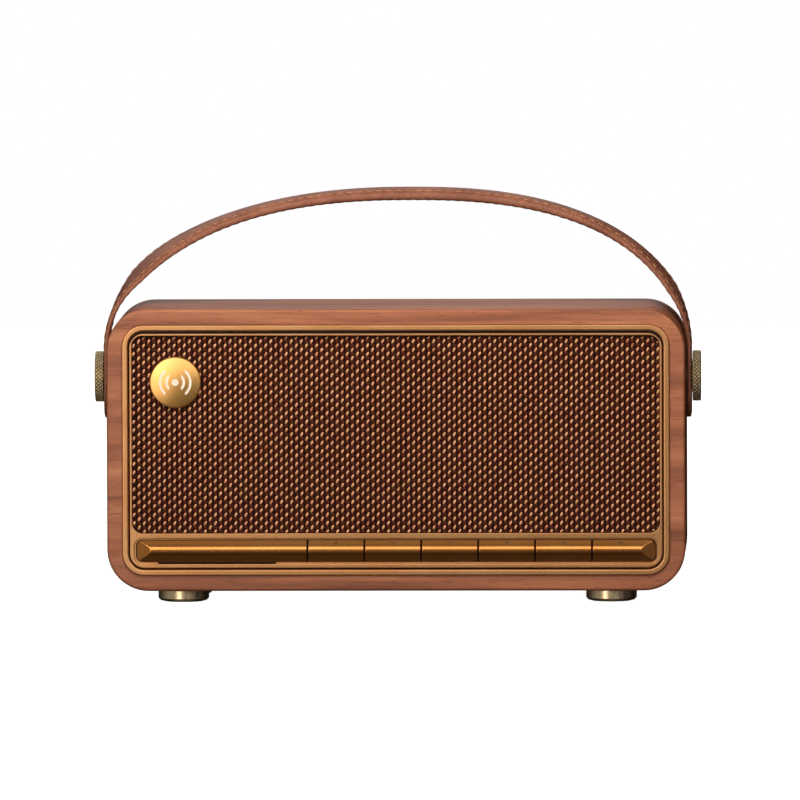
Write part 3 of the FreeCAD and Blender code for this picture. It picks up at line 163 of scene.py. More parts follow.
def softbox(name, place, wide, high, power, colour="#ffffff"):
    """A rectangular light that faces the radio."""
    data = bpy.data.lights.new(name, "AREA")
    data.shape = "RECTANGLE"
    data.size, data.size_y = wide, high
    data.energy = power
    data.color = tone(colour)[:3]
    lamp = bpy.data.objects.new(name, data)
    lamp.location = place
    lamp.rotation_mode = "QUATERNION"
    lamp.rotation_quaternion = (radio_middle - Vector(place)).to_track_quat("-Z", "Y")
    lamp.visible_camera = False
    bpy.context.scene.collection.objects.link(lamp)
    print(name, power, "W")
    return lamp


softbox("front_left_softbox", (-0.42, -1.0, 0.2), 0.34, 0.8, 1.9, "#fff4e6")
softbox("high_front_softbox", (0.05, -1.1, 0.42), 1.3, 0.5, 3.5, "#fff8f0")
softbox("right_fill", (1.1, -1.3, 0.7), 0.5, 0.7, 0.6, "#fff6ee")
softbox("back_light", (-0.3, 1.6, 1.1), 1.6, 1.0, 5.0)
top_strip = softbox("top_strip", (0.0, -0.3, 0.4), 0.5, 0.12, 2.0, "#fff8f0")
top_strip.visible_glossy = False

# %% Floor
floor_mesh = bmesh.new()
bmesh.ops.create_circle(floor_mesh, cap_ends=True, segments=96, radius=2.0)
floor_data = bpy.data.meshes.new("studio_floor")
floor_mesh.to_mesh(floor_data)
floor_mesh.free()
floor = bpy.data.objects.new("studio_floor", floor_data)
bpy.context.scene.collection.objects.link(floor)
# The wood and the metal don't see the floor, so they take no tint or bright streak from it.
floor.visible_glossy = False
floor.visible_diffuse = False
# A light table's paper: it glows, so its far edge is as white as the room behind it.
paper = bpy.data.materials.new("backlit_paper")
paper.use_nodes = True
paper_shader = paper.node_tree.nodes["Principled BSDF"]
paper_shader.inputs["Base Color"].default_value = tone("#f6f5f3")
paper_shader.inputs["Roughness"].default_value = 0.9
paper_shader.inputs["Emission Color"].default_value = tone("#ffffff")
paper_shader.inputs["Emission Strength"].default_value = 1.0
floor_data.materials.append(paper)
print("floor disc, radius 2 m")

# %% [markdown]
# ## Tools for the finishes
# Every material starts the same way: a Principled shader, and the object's own coordinates turned
# into millimetres, so that a pattern can be written as a real size. A noise whose scale is one over
# 0.5 has features about half a millimetre across. A noise's values lie mostly between 0.3 and 0.7,
# so ramps and ranges start and end there.

# %% Start a material
def start(name, **constants):
    """A new material: the material, its tree, its shader, and object coordinates in millimetres. In
    the name of a constant, an underscore stands for a space."""
    material = bpy.data.materials.new(name)
    material.use_nodes = True
    tree = material.node_tree
    shader = tree.nodes["Principled BSDF"]
    for socket, value in constants.items():
        shader.inputs[socket.replace("_", " ")].default_value = value
    place = add(tree, "TexCoord", out="Object")
    millimetres = add(tree, "VectorMath", {0: place, 3: 1 / MM}, operation="SCALE")
    return material, tree, shader, millimetres


def give(tree, shader, **sockets):
    """Links outputs to the shader's inputs; an underscore in a name stands for a space."""
    for name, output in sockets.items():
        tree.links.new(output, shader.inputs[name.replace("_", " ")])


def dress(material, *names):
    """Puts a material on CAD nodes, in place of the one they came with."""
    for name in names:
        data = nodes[name].data
        data.materials.clear()
        data.materials.append(material)
    print(material.name, "on", len(names), "nodes")


# %% [markdown]
# ## Walnut veneer
# The cabinet is wrapped in walnut veneer under a satin lacquer. The grain runs across the front,
# on the two uprights too, and on the top it runs the same way, over the round shoulders and down
# the sides. Object coordinates alone would show end grain on the sides, so the pattern's long
# direction is the distance walked round the section: along the top, round the corner's arc, then
# down the side. The front and back faces, whose normal points along Y, use X and Z instead.
#
# The arithmetic is written as named steps. Each is one Math node, and a loop adds them in order.

# %% Walnut
cabinet_low, cabinet_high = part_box("cabinet")
half_wide = round((cabinet_high.x - cabinet_low.x) / 2 / MM, 3)
half_high = round((cabinet_high.z - cabinet_low.z) / 2 / MM, 3)
middle_height = round((cabinet_high.z + cabinet_low.z) / 2 / MM, 3)
corner_radius = 18.0
facing_shift = 300.0
walk_steps = [
    ("reach", "ABSOLUTE", "x"),
    ("beyond_side", "SUBTRACT", "reach", half_wide - corner_radius),
    ("past_side", "MAXIMUM", "beyond_side", 0.0),
    ("beyond_top", "SUBTRACT", "z", middle_height + half_high - corner_radius),
    ("past_top", "MAXIMUM", "beyond_top", 0.0),
    ("beyond_bottom", "SUBTRACT", middle_height - half_high + corner_radius, "z"),
    ("below", "MAXIMUM", "beyond_bottom", 0.0),
    ("shoulder_angle", "ARCTAN2", "past_side", "past_top"),
    ("shoulder", "MULTIPLY", "shoulder_angle", corner_radius),
    ("hip_angle", "ARCTAN2", "below", "past_side"),
    ("hip", "MULTIPLY", "hip_angle", corner_radius),
    ("above_middle", "SUBTRACT", "z", middle_height),
    ("without_hip", "ADD", "above_middle", "below"),
    ("level", "SUBTRACT", "without_hip", "past_top"),
    ("down", "SUBTRACT", half_high - corner_radius, "level"),
    ("flat", "MINIMUM", "reach", half_wide - corner_radius),
    ("over", "ADD", "flat", "shoulder"),
    ("under", "ADD", "down", "hip"),
    ("walked", "ADD", "over", "under"),
    ("side", "SIGN", "x"),
    ("walked_across", "MULTIPLY", "walked", "side"),
    ("facing_up", "ADD", "z", facing_shift),
    ("squareness", "ABSOLUTE", "normal_y"),
    ("is_front", "GREATER_THAN", "squareness", 0.75),
]
look_steps = [
    ("figure_part", "MULTIPLY", "figure", 0.62),
    ("rings_part", "MULTIPLY", "rings", 0.28),
    ("fibres_part", "MULTIPLY", "fibres", 0.10),
    ("fine_part", "ADD", "rings_part", "fibres_part"),
    ("blend", "ADD", "figure_part", "fine_part"),
    ("pore_share", "MULTIPLY", "pores", 0.55),
    ("surface", "SUBTRACT", "fibres", "pores"),
]
# What each noise is stretched along the grain by, and the size of its features across it, in mm.
grain_noises = {
    "figure": (14.0, {"Scale": 1 / 9.0, "Detail": 3.0, "Roughness": 0.55, "Distortion": 0.4}),
    "rings": (40.0, {"Scale": 1 / 1.9, "Detail": 3.0, "Roughness": 0.6, "Distortion": 0.2}),
    "fibres": (26.0, {"Scale": 1 / 0.42, "Detail": 2.0, "Roughness": 0.6}),
    "pores": (13.0, {"Scale": 1 / 0.55, "Detail": 1.0}),
}


def walnut_veneer():
    """Sliced, sanded and lacquered: a warm brown figure, dark open pores and a low satin shine."""
    material, tree, shader, mm = start("walnut_veneer", Roughness=0.5, Coat_Weight=0.05, Coat_Roughness=0.3)
    normal = add(tree, "TexCoord", out="Normal")
    values = dict(zip("xyz", add(tree, "SeparateXYZ", {"Vector": mm}).node.outputs))
    values["normal_y"] = add(tree, "SeparateXYZ", {"Vector": normal}, out="Y")
    for name, operation, *operands in walk_steps:
        inputs = {i: values.get(operand, operand) for i, operand in enumerate(operands)}
        values[name] = add(tree, "Math", inputs, operation=operation)
    # Z is a depth into the noise that keeps the front's figure apart from the side's.
    wrapped = add(tree, "CombineXYZ", {"X": values["walked_across"], "Y": values["y"], "Z": 11.0})
    facing = add(tree, "CombineXYZ", {"X": values["x"], "Y": values["facing_up"], "Z": 47.0})
    grain = add(tree, "Mix", {"Factor": values["is_front"], 4: wrapped, 5: facing}, out=1, data_type="VECTOR")
    for name, (stretch, settings) in grain_noises.items():
        along = add(tree, "VectorMath", {0: grain, 1: (1 / stretch, 1.0, 1.0)}, operation="MULTIPLY")
        values[name] = add(tree, "TexNoise", {"Vector": along, **settings}, out="Fac")
    values["pores"] = add(tree, "MapRange", {"Value": values["pores"], "From Min": 0.62, "From Max": 0.74})
    for name, operation, *operands in look_steps:
        inputs = {i: values.get(operand, operand) for i, operand in enumerate(operands)}
        values[name] = add(tree, "Math", inputs, operation=operation)
    depth = add(tree, "MapRange", {"Value": values["blend"], "From Min": 0.36, "From Max": 0.66})
    colour = add(tree, "ValToRGB", {"Fac": depth}, stops=[
        (0.0, "#714028"), (0.30, "#8d5236"), (0.55, "#9d5e3f"), (0.80, "#aa6b48"), (1.0, "#b57752"),
    ])
    dark = add(tree, "Mix", {"Factor": values["pore_share"], 6: colour, 7: tone("#4c281b")}, out=2,
               data_type="RGBA")
    shine = add(tree, "MapRange", {"Value": values["rings"], "From Min": 0.3, "From Max": 0.7,
                                   "To Min": 0.36, "To Max": 0.5})
    bump = add(tree, "Bump", {"Height": values["surface"], "Distance": 0.05 * MM, "Strength": 0.6})
    give(tree, shader, Base_Color=dark, Roughness=shine, Normal=bump)
    return material


dress(walnut_veneer(), "cabinet")

# %% [markdown]
# ## Gilt trim
# The bezel and the grille's frame are aluminium, bead-blasted and anodised to a rose gold, which
# scatters a highlight into a soft band. The keys are moulded plastic with a vacuum-metallised coat
# of antique gold: almost a mirror, and deeper in colour. A Principled shader with metallic at 1
# makes both, and roughness tells them apart.

# %% Trim and keys
def gilt_aluminium():
    """Blasted and anodised: a soft pink-gold sheen. The grit is drawn a little coarser than the real
    one, so that it shows."""
    material, tree, shader, mm = start("bead_blasted_rose_gold_aluminium", Metallic=1.0, Roughness=0.3)
    cloud = add(tree, "TexNoise", {"Vector": mm, "Scale": 1 / 30.0}, out="Fac")
    grit = add(tree, "TexNoise", {"Vector": mm, "Scale": 1 / 0.5}, out="Fac")
    shine = add(tree, "MapRange", {"Value": grit, "From Min": 0.3, "From Max": 0.7, "To Min": 0.27,
                                   "To Max": 0.33})
    give(tree, shader, Roughness=shine,
         Base_Color=add(tree, "ValToRGB", {"Fac": cloud}, stops=[(0.3, "#dda06a"), (0.7, "#e8b07a")]),
         Normal=add(tree, "Bump", {"Height": grit, "Distance": 0.003 * MM, "Strength": 0.5}))
    return material


def metallised_gold():
    """Vacuum metallised over moulded plastic: a deep gold mirror, slightly wavy and uneven."""
    material, tree, shader, mm = start("metallised_antique_gold", Metallic=1.0, Roughness=0.2)
    cloud = add(tree, "TexNoise", {"Vector": mm, "Scale": 1 / 18.0, "Detail": 3.0}, out="Fac")
    polish = add(tree, "TexNoise", {"Vector": mm, "Scale": 1 / 1.2, "Detail": 3.0}, out="Fac")
    shine = add(tree, "MapRange", {"Value": polish, "From Min": 0.3, "From Max": 0.7, "To Min": 0.17,
                                   "To Max": 0.23})
    give(tree, shader, Roughness=shine,
         Base_Color=add(tree, "ValToRGB", {"Fac": cloud}, stops=[(0.3, "#cf8a48"), (0.7, "#d89654")]),
         Normal=add(tree, "Bump", {"Height": cloud, "Distance": 0.01 * MM, "Strength": 0.3}))
    return material


dress(gilt_aluminium(), "bezel", "grille_frame")
key_nodes = [name for name in nodes if name.endswith("_key")]
dress(metallised_gold(), "trim_bar", *key_nodes)

# %% [markdown]
# ## The badge
# A small disc of brass, turned on a lathe. Fine rings from the tool run round its middle, and its
# face is a very shallow dome, which slides the reflection from bright at the left to dark at the
# right. A bump draws both: its height falls with the square of the distance from the middle.

# %% Badge
dome_fall = -1.0 / 123.0
ring_height = 0.0007


def spun_brass():
    """Turned and brushed brass: rings of fine scratches, under one soft highlight."""
    material, tree, shader, mm = start("spun_satin_brass", Metallic=1.0, Roughness=0.3)
    low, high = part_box("badge")
    centre = (low + high) / 2 / MM
    offset = add(tree, "VectorMath", {0: mm, 1: (centre.x, 0.0, centre.z)}, operation="SUBTRACT")
    flat = add(tree, "VectorMath", {0: offset, 1: (1.0, 0.0, 1.0)}, operation="MULTIPLY")
    radius = add(tree, "VectorMath", {0: flat}, out="Value", operation="LENGTH")
    squared = add(tree, "Math", {0: radius, 1: 2.0}, operation="POWER")
    dome = add(tree, "Math", {0: squared, 1: dome_fall}, operation="MULTIPLY")
    rings = add(tree, "TexNoise", {"W": radius, "Scale": 3.0, "Detail": 2.0}, out="Fac",
                noise_dimensions="1D")
    height = add(tree, "Math", {0: rings, 1: ring_height, 2: dome}, operation="MULTIPLY_ADD")
    shine = add(tree, "MapRange", {"Value": rings, "From Min": 0.3, "From Max": 0.7, "To Min": 0.28,
                                   "To Max": 0.32})
    give(tree, shader, Roughness=shine,
         Base_Color=add(tree, "ValToRGB", {"Fac": rings}, stops=[(0.3, "#e5ad62"), (0.7, "#edb971")]),
         Normal=add(tree, "Bump", {"Height": height, "Distance": 1.0 * MM, "Strength": 1.0}))
    return material


def white_enamel():
    """Hard enamel, fired and flatted: a creamy gloss that sits bright on the brass."""
    material, tree, shader, mm = start("white_enamel", Roughness=0.16, Coat_Weight=0.4, Coat_Roughness=0.1)
    cloud = add(tree, "TexNoise", {"Vector": mm, "Scale": 1 / 3.0}, out="Fac")
    give(tree, shader,
         Base_Color=add(tree, "ValToRGB", {"Fac": cloud}, stops=[(0.3, "#f3e2cd"), (0.7, "#faeedd")]))
    return material


dress(spun_brass(), "badge")
dress(white_enamel(), "badge_inlay")

# %% [markdown]
# ## Feet and washers
# The feet are turned from a paler brass than the trim and buffed. The washers and the inserts are
# stock brass parts, tumbled to a satin.

# %% Feet and washers
def polished_brass():
    """Buffed brass: pale, with bright upright bands, and dulled in places by smears."""
    material, tree, shader, mm = start("polished_pale_brass", Metallic=1.0, Roughness=0.26)
    cloud = add(tree, "TexNoise", {"Vector": mm, "Scale": 1 / 6.0, "Detail": 3.0}, out="Fac")
    smear = add(tree, "TexNoise", {"Vector": mm, "Scale": 1 / 0.8, "Detail": 3.0}, out="Fac")
    shine = add(tree, "MapRange", {"Value": smear, "From Min": 0.3, "From Max": 0.7, "To Min": 0.22,
                                   "To Max": 0.32})
    give(tree, shader, Roughness=shine,
         Base_Color=add(tree, "ValToRGB", {"Fac": cloud}, stops=[(0.3, "#f2d8b0"), (0.7, "#f9e4c2")]))
    return material


def satin_brass():
    """Tumbled brass: a yellow satin with a fine, even grain."""
    material, tree, shader, mm = start("satin_brass", Metallic=1.0, Roughness=0.32)
    cloud = add(tree, "TexNoise", {"Vector": mm, "Scale": 1 / 4.0, "Detail": 3.0}, out="Fac")
    grit = add(tree, "TexNoise", {"Vector": mm, "Scale": 1 / 0.5}, out="Fac")
    give(tree, shader,
         Base_Color=add(tree, "ValToRGB", {"Fac": cloud}, stops=[(0.3, "#c29a5b"), (0.7, "#cfa96a")]),
         Normal=add(tree, "Bump", {"Height": grit, "Distance": 0.01 * MM, "Strength": 0.5}))
    return material


dress(polished_brass(), "feet")
dress(satin_brass(), "left_washer", "right_washer", "threaded_inserts")

# %% [markdown]
# ## Moulded plastic, rubber, wire and board
# Most of what is left sits inside. Each still has its own maker's finish, because the radio can be
# opened and its parts reused. They share one recipe: two close colours mixed by a noise, a
# roughness that varies a little, and a bump at the size of the real texture.

# %% Plain surfaces
def plain_surface(name, dark, light, patch, texture, height, roughness, metallic=0.0, coat=0.0):
    """A surface of two close colours. patch and texture are sizes in millimetres, and height is the
    texture's height."""
    material, tree, shader, mm = start(name, Metallic=metallic, Roughness=roughness, Coat_Weight=coat,
                                       Coat_Roughness=0.1)
    fine = add(tree, "TexNoise", {"Vector": mm, "Scale": 1 / texture, "Detail": 3.0}, out="Fac")
    cloud = add(tree, "TexNoise", {"Vector": mm, "Scale": 1 / patch, "Detail": 3.0}, out="Fac")
    shine = add(tree, "MapRange", {"Value": fine, "From Min": 0.3, "From Max": 0.7,
                                   "To Min": roughness - 0.06, "To Max": roughness + 0.06})
    give(tree, shader, Roughness=shine,
         Base_Color=add(tree, "ValToRGB", {"Fac": cloud}, stops=[(0.35, dark), (0.65, light)]),
         Normal=add(tree, "Bump", {"Height": fine, "Distance": height * MM}))
    return material


def planed_pine():
    """Softwood, planed: pale yellow, with a darker stripe for each year, running front to back."""
    material, tree, shader, mm = start("planed_pine", Roughness=0.6)
    grain = add(tree, "VectorMath", {0: mm, 1: (1.0, 0.04, 1.0)}, operation="MULTIPLY")
    rings = add(tree, "TexNoise", {"Vector": grain, "Scale": 1 / 1.6}, out="Fac")
    give(tree, shader,
         Base_Color=add(tree, "ValToRGB", {"Fac": rings},
                        stops=[(0.35, "#b98d5b"), (0.5, "#d3ac78"), (0.7, "#dfbd8c")]),
         Normal=add(tree, "Bump", {"Height": rings, "Distance": 0.05 * MM, "Strength": 0.5}))
    return material


def circuit_board():
    """Glass fibre under green solder mask: the copper tracks show through as a paler green."""
    material, tree, shader, mm = start("solder_mask", Roughness=0.35, Coat_Weight=0.5, Coat_Roughness=0.1)
    tracks = add(tree, "TexBrick", {
        "Vector": mm, "Scale": 0.14, "Mortar Size": 0.012, "Color1": tone("#123d24"),
        "Color2": tone("#15452a"), "Mortar": tone("#2d7a4a"),
    }, out="Color")
    fine = add(tree, "TexNoise", {"Vector": mm, "Scale": 1 / 0.6}, out="Fac")
    give(tree, shader, Base_Color=tracks, Normal=add(tree, "Bump", {"Height": fine, "Distance": 0.01 * MM}))
    return material


dress(planed_pine(), "corner_battens")
dress(circuit_board(), "main_board", "key_board")

# %% Dress the casing and the loudspeakers
# Spark-eroded mould texture on ABS, with about 0.6 mm between its dimples: a matt black.
dress(plain_surface("textured_black_abs", "#141313", "#1b1a19", 12.0, 0.6, 0.05, 0.55),
      "front_baffle", "grille_backing", "rear_panel", "radiator_frame", "battery_tray")
# Stove enamel on pressed steel: smooth, with a faint orange peel.
dress(plain_surface("stove_enamel", "#111111", "#181818", 9.0, 1.4, 0.02, 0.36, coat=0.3),
      "rear_grille", "driver_baskets")
# Foam with closed cells: no shine at all.
dress(plain_surface("closed_cell_foam", "#121212", "#1e1e1e", 2.0, 0.8, 0.15, 0.9), "driver_gaskets")
# Sintered ferrite, ground flat: a dull grey with a trace of metal.
dress(plain_surface("ground_ferrite", "#26272a", "#333438", 3.0, 0.4, 0.02, 0.5, metallic=0.3),
      "driver_magnets")
# Paper pulp, pressed in a felted mould: a soft black with short fibres.
dress(plain_surface("pressed_paper_pulp", "#17171a", "#232327", 2.0, 0.7, 0.06, 0.85), "driver_cones")
# Moulded butyl rubber: black, and a little waxy.
dress(plain_surface("butyl_rubber", "#0d0d0d", "#151515", 5.0, 0.8, 0.02, 0.6),
      "driver_surrounds", "radiator_surround", "foot_pads")
# Brushed and anodised aluminium: a dark grey sheen.
dress(plain_surface("dark_anodised_aluminium", "#38393c", "#424448", 8.0, 0.5, 0.01, 0.35, metallic=1.0),
      "radiator_plate")

# %% Dress the small parts
# Injection-moulded nylon: black, and smoother than the casing.
plungers = [name for name in nodes if name.endswith("_plunger")]
dress(plain_surface("moulded_black_nylon", "#101012", "#19191c", 4.0, 0.5, 0.02, 0.45),
      "key_switches", "board_components", "audio_jack", *plungers)
# Steel strip, tinned before it was folded: bright, and slightly grey.
dress(plain_surface("tinned_steel", "#9c9c9e", "#b3b3b5", 3.0, 0.4, 0.01, 0.3, metallic=1.0),
      "usb_socket", "card_socket")
# Steel screws, blackened in hot salts and oiled: a dark, even gleam.
dress(plain_surface("black_oxide_steel", "#2c2c2f", "#3a3a3d", 1.5, 0.3, 0.01, 0.4, metallic=1.0),
      "baffle_screws", "rear_panel_screws", "driver_screws", "key_board_screws", "foot_screws")
# Shrunk PVC film: glossy, and pulled into faint waves.
dress(plain_surface("blue_shrink_sleeve", "#1b5f86", "#226d97", 10.0, 2.5, 0.02, 0.3), "battery_cells")
# Extruded PVC insulation: an even, waxy red.
dress(plain_surface("red_pvc_sleeve", "#6e1712", "#7d1d17", 5.0, 0.9, 0.01, 0.4),
      "speaker_leads", "battery_lead")

# %% [markdown]
# ## Making a piece
# New pieces are made in a bmesh and handed to one function, which makes the object, puts it on its body
# and hides the CAD solid it stands for. Smooth shading is on, with sharp edges kept where two faces meet
# at more than 35 degrees.

# %% Turn a bmesh into a piece
def piece(name, shape, material, body, stands_for=(), sharp=35.0):
    """Makes a finished object from a bmesh, and lets it ride on a body."""
    bmesh.ops.recalc_face_normals(shape, faces=shape.faces)
    data = bpy.data.meshes.new(name)
    shape.to_mesh(data)
    shape.free()
    data.materials.append(material)
    data.shade_smooth()
    data.set_sharp_from_angle(angle=math.radians(sharp))
    made = bpy.data.objects.new(name, data)
    bpy.context.scene.collection.objects.link(made)
    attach(made, body)
    if stands_for:
        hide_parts(*stands_for)
    print(name, len(data.polygons), "faces")
    return made


# %% [markdown]
# ## The woven grille
# The grille is a coarse basket weave of two yarns: a dark brown one, and one with a copper-gold
# thread that comes to the surface in short slanted floats. A flat sheet with a picture of a weave
# stays flat in raking light, so every float is a small half-round of thread, leaning like a slash.
# Gold and brown floats take turns like a chessboard, 2.2 mm apart across and 1.83 mm up. One float
# is modelled, two array modifiers repeat it, and the edges are cut to the window.

# %% Yarns
def yarn(name, stops, roughness=0.8, metallic=0.0):
    """Spun yarn: matt, with a colour that changes along it and the ridges of its twist."""
    material, tree, shader, mm = start(name, Metallic=metallic, Roughness=roughness, Specular_IOR_Level=0.2)
    patch = add(tree, "TexNoise", {"Vector": mm, "Scale": 1 / 2.6, "Roughness": 0.6}, out="Fac")
    twist = add(tree, "TexWave", {"Vector": mm, "Scale": 0.62, "Distortion": 1.5, "Detail": 1.0}, out="Fac",
                bands_direction="DIAGONAL")
    give(tree, shader, Base_Color=add(tree, "ValToRGB", {"Fac": patch}, stops=stops),
         Normal=add(tree, "Bump", {"Height": twist, "Distance": 0.08 * MM, "Strength": 0.7}))
    return material


# Copper and gold film wound round a cotton core: it glints from pink to yellow along its length.
copper_yarn = yarn("copper_gold_yarn", [
    (0.30, "#b46b47"), (0.42, "#e29a70"), (0.52, "#f2b68c"), (0.62, "#d3a566"), (0.72, "#dc927c"),
], 0.5, 0.2)
# Dyed cotton: three browns, none of them shiny.
brown_yarn = yarn("dark_brown_yarn", [
    (0.30, "#3a150a"), (0.45, "#52220f"), (0.58, "#502419"), (0.70, "#43290e"),
])
# The weave's lower threads, in the shade of the floats.
ground_yarn = yarn("ground_yarn", [(0.35, "#1f0a04"), (0.65, "#2e1006")], 0.9)

# %% The ground sheet
cloth_low, cloth_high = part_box("grille_cloth")
sheet_size = cloth_high - cloth_low
window_radius = 4.3 * MM
sheet_shape = bmesh.new()
bmesh.ops.create_cube(sheet_shape, size=1.0)
bmesh.ops.scale(sheet_shape, vec=sheet_size, verts=sheet_shape.verts)
bmesh.ops.translate(sheet_shape, vec=(cloth_low + cloth_high) / 2, verts=sheet_shape.verts)
corner_edges = [edge for edge in sheet_shape.edges
                if abs((edge.verts[0].co - edge.verts[1].co).y) > 0.5 * sheet_size.y]
bmesh.ops.bevel(sheet_shape, geom=corner_edges, offset=window_radius, segments=8, profile=0.5, affect="EDGES",
                material=-1)
ground = piece("grille_ground_weave", sheet_shape, ground_yarn, "cabinet", ["grille_cloth"])

# %% One float, repeated
float_step = Vector((2.2, 0, 1.83)) * MM
first_float, first_row = 0.6 * MM, 0.5 * MM


def one_float(size, lean):
    """Half of a round thread's bulge, flat side back, leaning by that many degrees."""
    shape = bmesh.new()
    bmesh.ops.create_uvsphere(shape, u_segments=8, v_segments=5, radius=1.0)
    bmesh.ops.scale(shape, vec=size * MM, verts=shape.verts)
    everything = shape.verts[:] + shape.edges[:] + shape.faces[:]
    cut = bmesh.ops.bisect_plane(shape, geom=everything, plane_co=(0, 0, 0), plane_no=(0, 1, 0),
                                 clear_outer=True)
    bmesh.ops.holes_fill(shape, edges=[e for e in cut["geom_cut"] if isinstance(e, bmesh.types.BMEdge)])
    turn_over = Matrix.Rotation(math.radians(lean), 3, "Y")
    bmesh.ops.rotate(shape, cent=(0, 0, 0), matrix=turn_over, verts=shape.verts)
    return shape


def repeated(name, shape):
    """The shape over the whole sheet: two array modifiers make the columns and the rows."""
    data = bpy.data.meshes.new(name)
    shape.to_mesh(data)
    shape.free()
    pattern = bpy.data.objects.new(name + "_pattern", data)
    bpy.context.scene.collection.objects.link(pattern)
    columns = int(sheet_size.x / (2 * float_step.x)) + 1
    rows = int(sheet_size.z / (2 * float_step.z)) + 1
    for count, offset in ((columns, (2 * float_step.x, 0, 0)), (rows, (0, 0, 2 * float_step.z))):
        array = pattern.modifiers.new("repeat", "ARRAY")
        array.use_relative_offset = False
        array.use_constant_offset = True
        array.constant_offset_displace = offset
        array.count = count
    evaluated = pattern.evaluated_get(bpy.context.evaluated_depsgraph_get())
    whole = bmesh.new()
    whole.from_mesh(evaluated.to_mesh())
    bpy.data.objects.remove(pattern)
    return whole


print("floats every", [round(step / MM, 2) for step in float_step], "mm")

# %% Trim the floats to the window
window_margin = 0.1 * MM
sheet_middle = (cloth_low + cloth_high) / 2
corner = Vector((sheet_size.x / 2 - window_radius, sheet_size.z / 2 - window_radius))


def beyond_corner(point):
    """How far a point is from the middle of the nearest corner's arc, outwards."""
    past_x = max(abs(point.x - sheet_middle.x) - corner.x, 0)
    past_z = max(abs(point.z - sheet_middle.z) - corner.y, 0)
    return math.hypot(past_x, past_z)


def trimmed(whole):
    """Cuts the floats along the window's four edges and drops those outside its round corners."""
    for axis in (0, 2):
        for way in (-1, 1):
            plane = Vector((0, 0, 0))
            plane[axis] = way
            edge = sheet_middle + plane * (sheet_size[axis] / 2 - window_margin)
            everything = whole.verts[:] + whole.edges[:] + whole.faces[:]
            rim = bmesh.ops.bisect_plane(whole, geom=everything, plane_co=edge, plane_no=plane,
                                         clear_outer=True)
            rim_edges = [e for e in rim["geom_cut"] if isinstance(e, bmesh.types.BMEdge)]
            bmesh.ops.holes_fill(whole, edges=rim_edges)
    outside = [v for v in whole.verts if beyond_corner(v.co) > window_radius - window_margin]
    bmesh.ops.delete(whole, geom=outside, context="VERTS")
    return whole


def floats(name, material, first, lean, size):
    """Floats of thread on every other place of the weave, from the column `first`."""
    shape = one_float(size, lean)
    everything = shape.verts[:] + shape.edges[:] + shape.faces[:]
    twin = bmesh.ops.duplicate(shape, geom=everything)["geom"]
    bmesh.ops.translate(shape, vec=float_step, verts=[v for v in twin if isinstance(v, bmesh.types.BMVert)])
    start_at = Vector((cloth_low.x + first, cloth_low.y, cloth_low.z + first_row))
    bmesh.ops.translate(shape, vec=start_at, verts=shape.verts)
    return piece(name, trimmed(repeated(name, shape)), material, "cabinet", (), sharp=80.0)


# %% Weave
gold_floats = floats("gold_yarn_floats", copper_yarn, first_float, 24.0, Vector((0.52, 0.5, 1.06)))
brown_floats = floats("brown_yarn_floats", brown_yarn, first_float + float_step.x, -20.0,
                      Vector((0.7, 0.35, 0.95)))

# %% [markdown]
# ## The leather strap
# The strap is two layers of leather sewn round a filler: flat at its tabs, crowned over the hand.
# It is one closed shape, made as a sweep: a ring of points is extruded a little way at a time
# along the arch, and each new ring is placed square to the path, with its own width and thickness.
# Near each end the rings narrow along a half circle, which rounds the tab. Leather takes a set, so
# each side is twisted a little and shows its outer face, the left one more.

# %% The strap's path and section
strap_low, strap_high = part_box("handle_strap")
strap_half = strap_high.x
tab_thick = 2.2 * MM
top_thick = 5.7 * MM
spring_z = 108.0 * MM
half_width = 11.0 * MM
rise_outer = strap_high.z - spring_z
tab_length = spring_z - strap_low.z
edge_round = 2.6 * MM
# A circle's powers are 2; a little more makes the arch squarer at its shoulders.
across_power, up_power = 2.34, 2.08
top_lean, lean_power = 6.0 * MM, 2.6
# Each twist: its angle, where along the arch it is greatest, and how far it spreads.
twists = ((math.radians(12.0), 0.17), (math.radians(6.5), 0.88))
twist_spread = 0.13
# The twists fade to nothing at the springings, where the strap lies against the cabinet.
left_fade, right_fade = 0.15, 0.12


def arch(u, half_span, rise):
    """A point of the arch for u from 0 at the left springing to 1 at the right one."""
    angle = math.pi * (1 - u)
    across = math.copysign(abs(math.cos(angle)) ** (2 / across_power), math.cos(angle))
    up = max(math.sin(angle), 0.0) ** (2 / up_power)
    return Vector((half_span * across + top_lean * up ** lean_power, 0, spring_z + rise * up))


def both_faces(s):
    """The outer and inner point at s: 0 to 1 is the arch, and the straight tabs are beyond it, with s
    there in metres."""
    inner_half = strap_half - tab_thick
    if 0 <= s <= 1:
        return arch(s, strap_half, rise_outer), arch(s, inner_half, rise_outer - top_thick)
    side, drop = (-1, -s) if s < 0 else (1, s - 1)
    return Vector((side * strap_half, 0, spring_z - drop)), Vector((side * inner_half, 0, spring_z - drop))


# The filler thins towards the edges, so that they are this share of the middle's thickness.
edge_share = 0.66
least_size = 0.03


def quarter_round(distance, radius):
    """How much of its full size a shape has at that distance from a rounded end, from 0 to 1. It
    never quite closes, so that the last section keeps its points apart."""
    short = 1 - min(distance / radius, 1.0)
    return max(math.sqrt(1 - short ** 2), least_size)


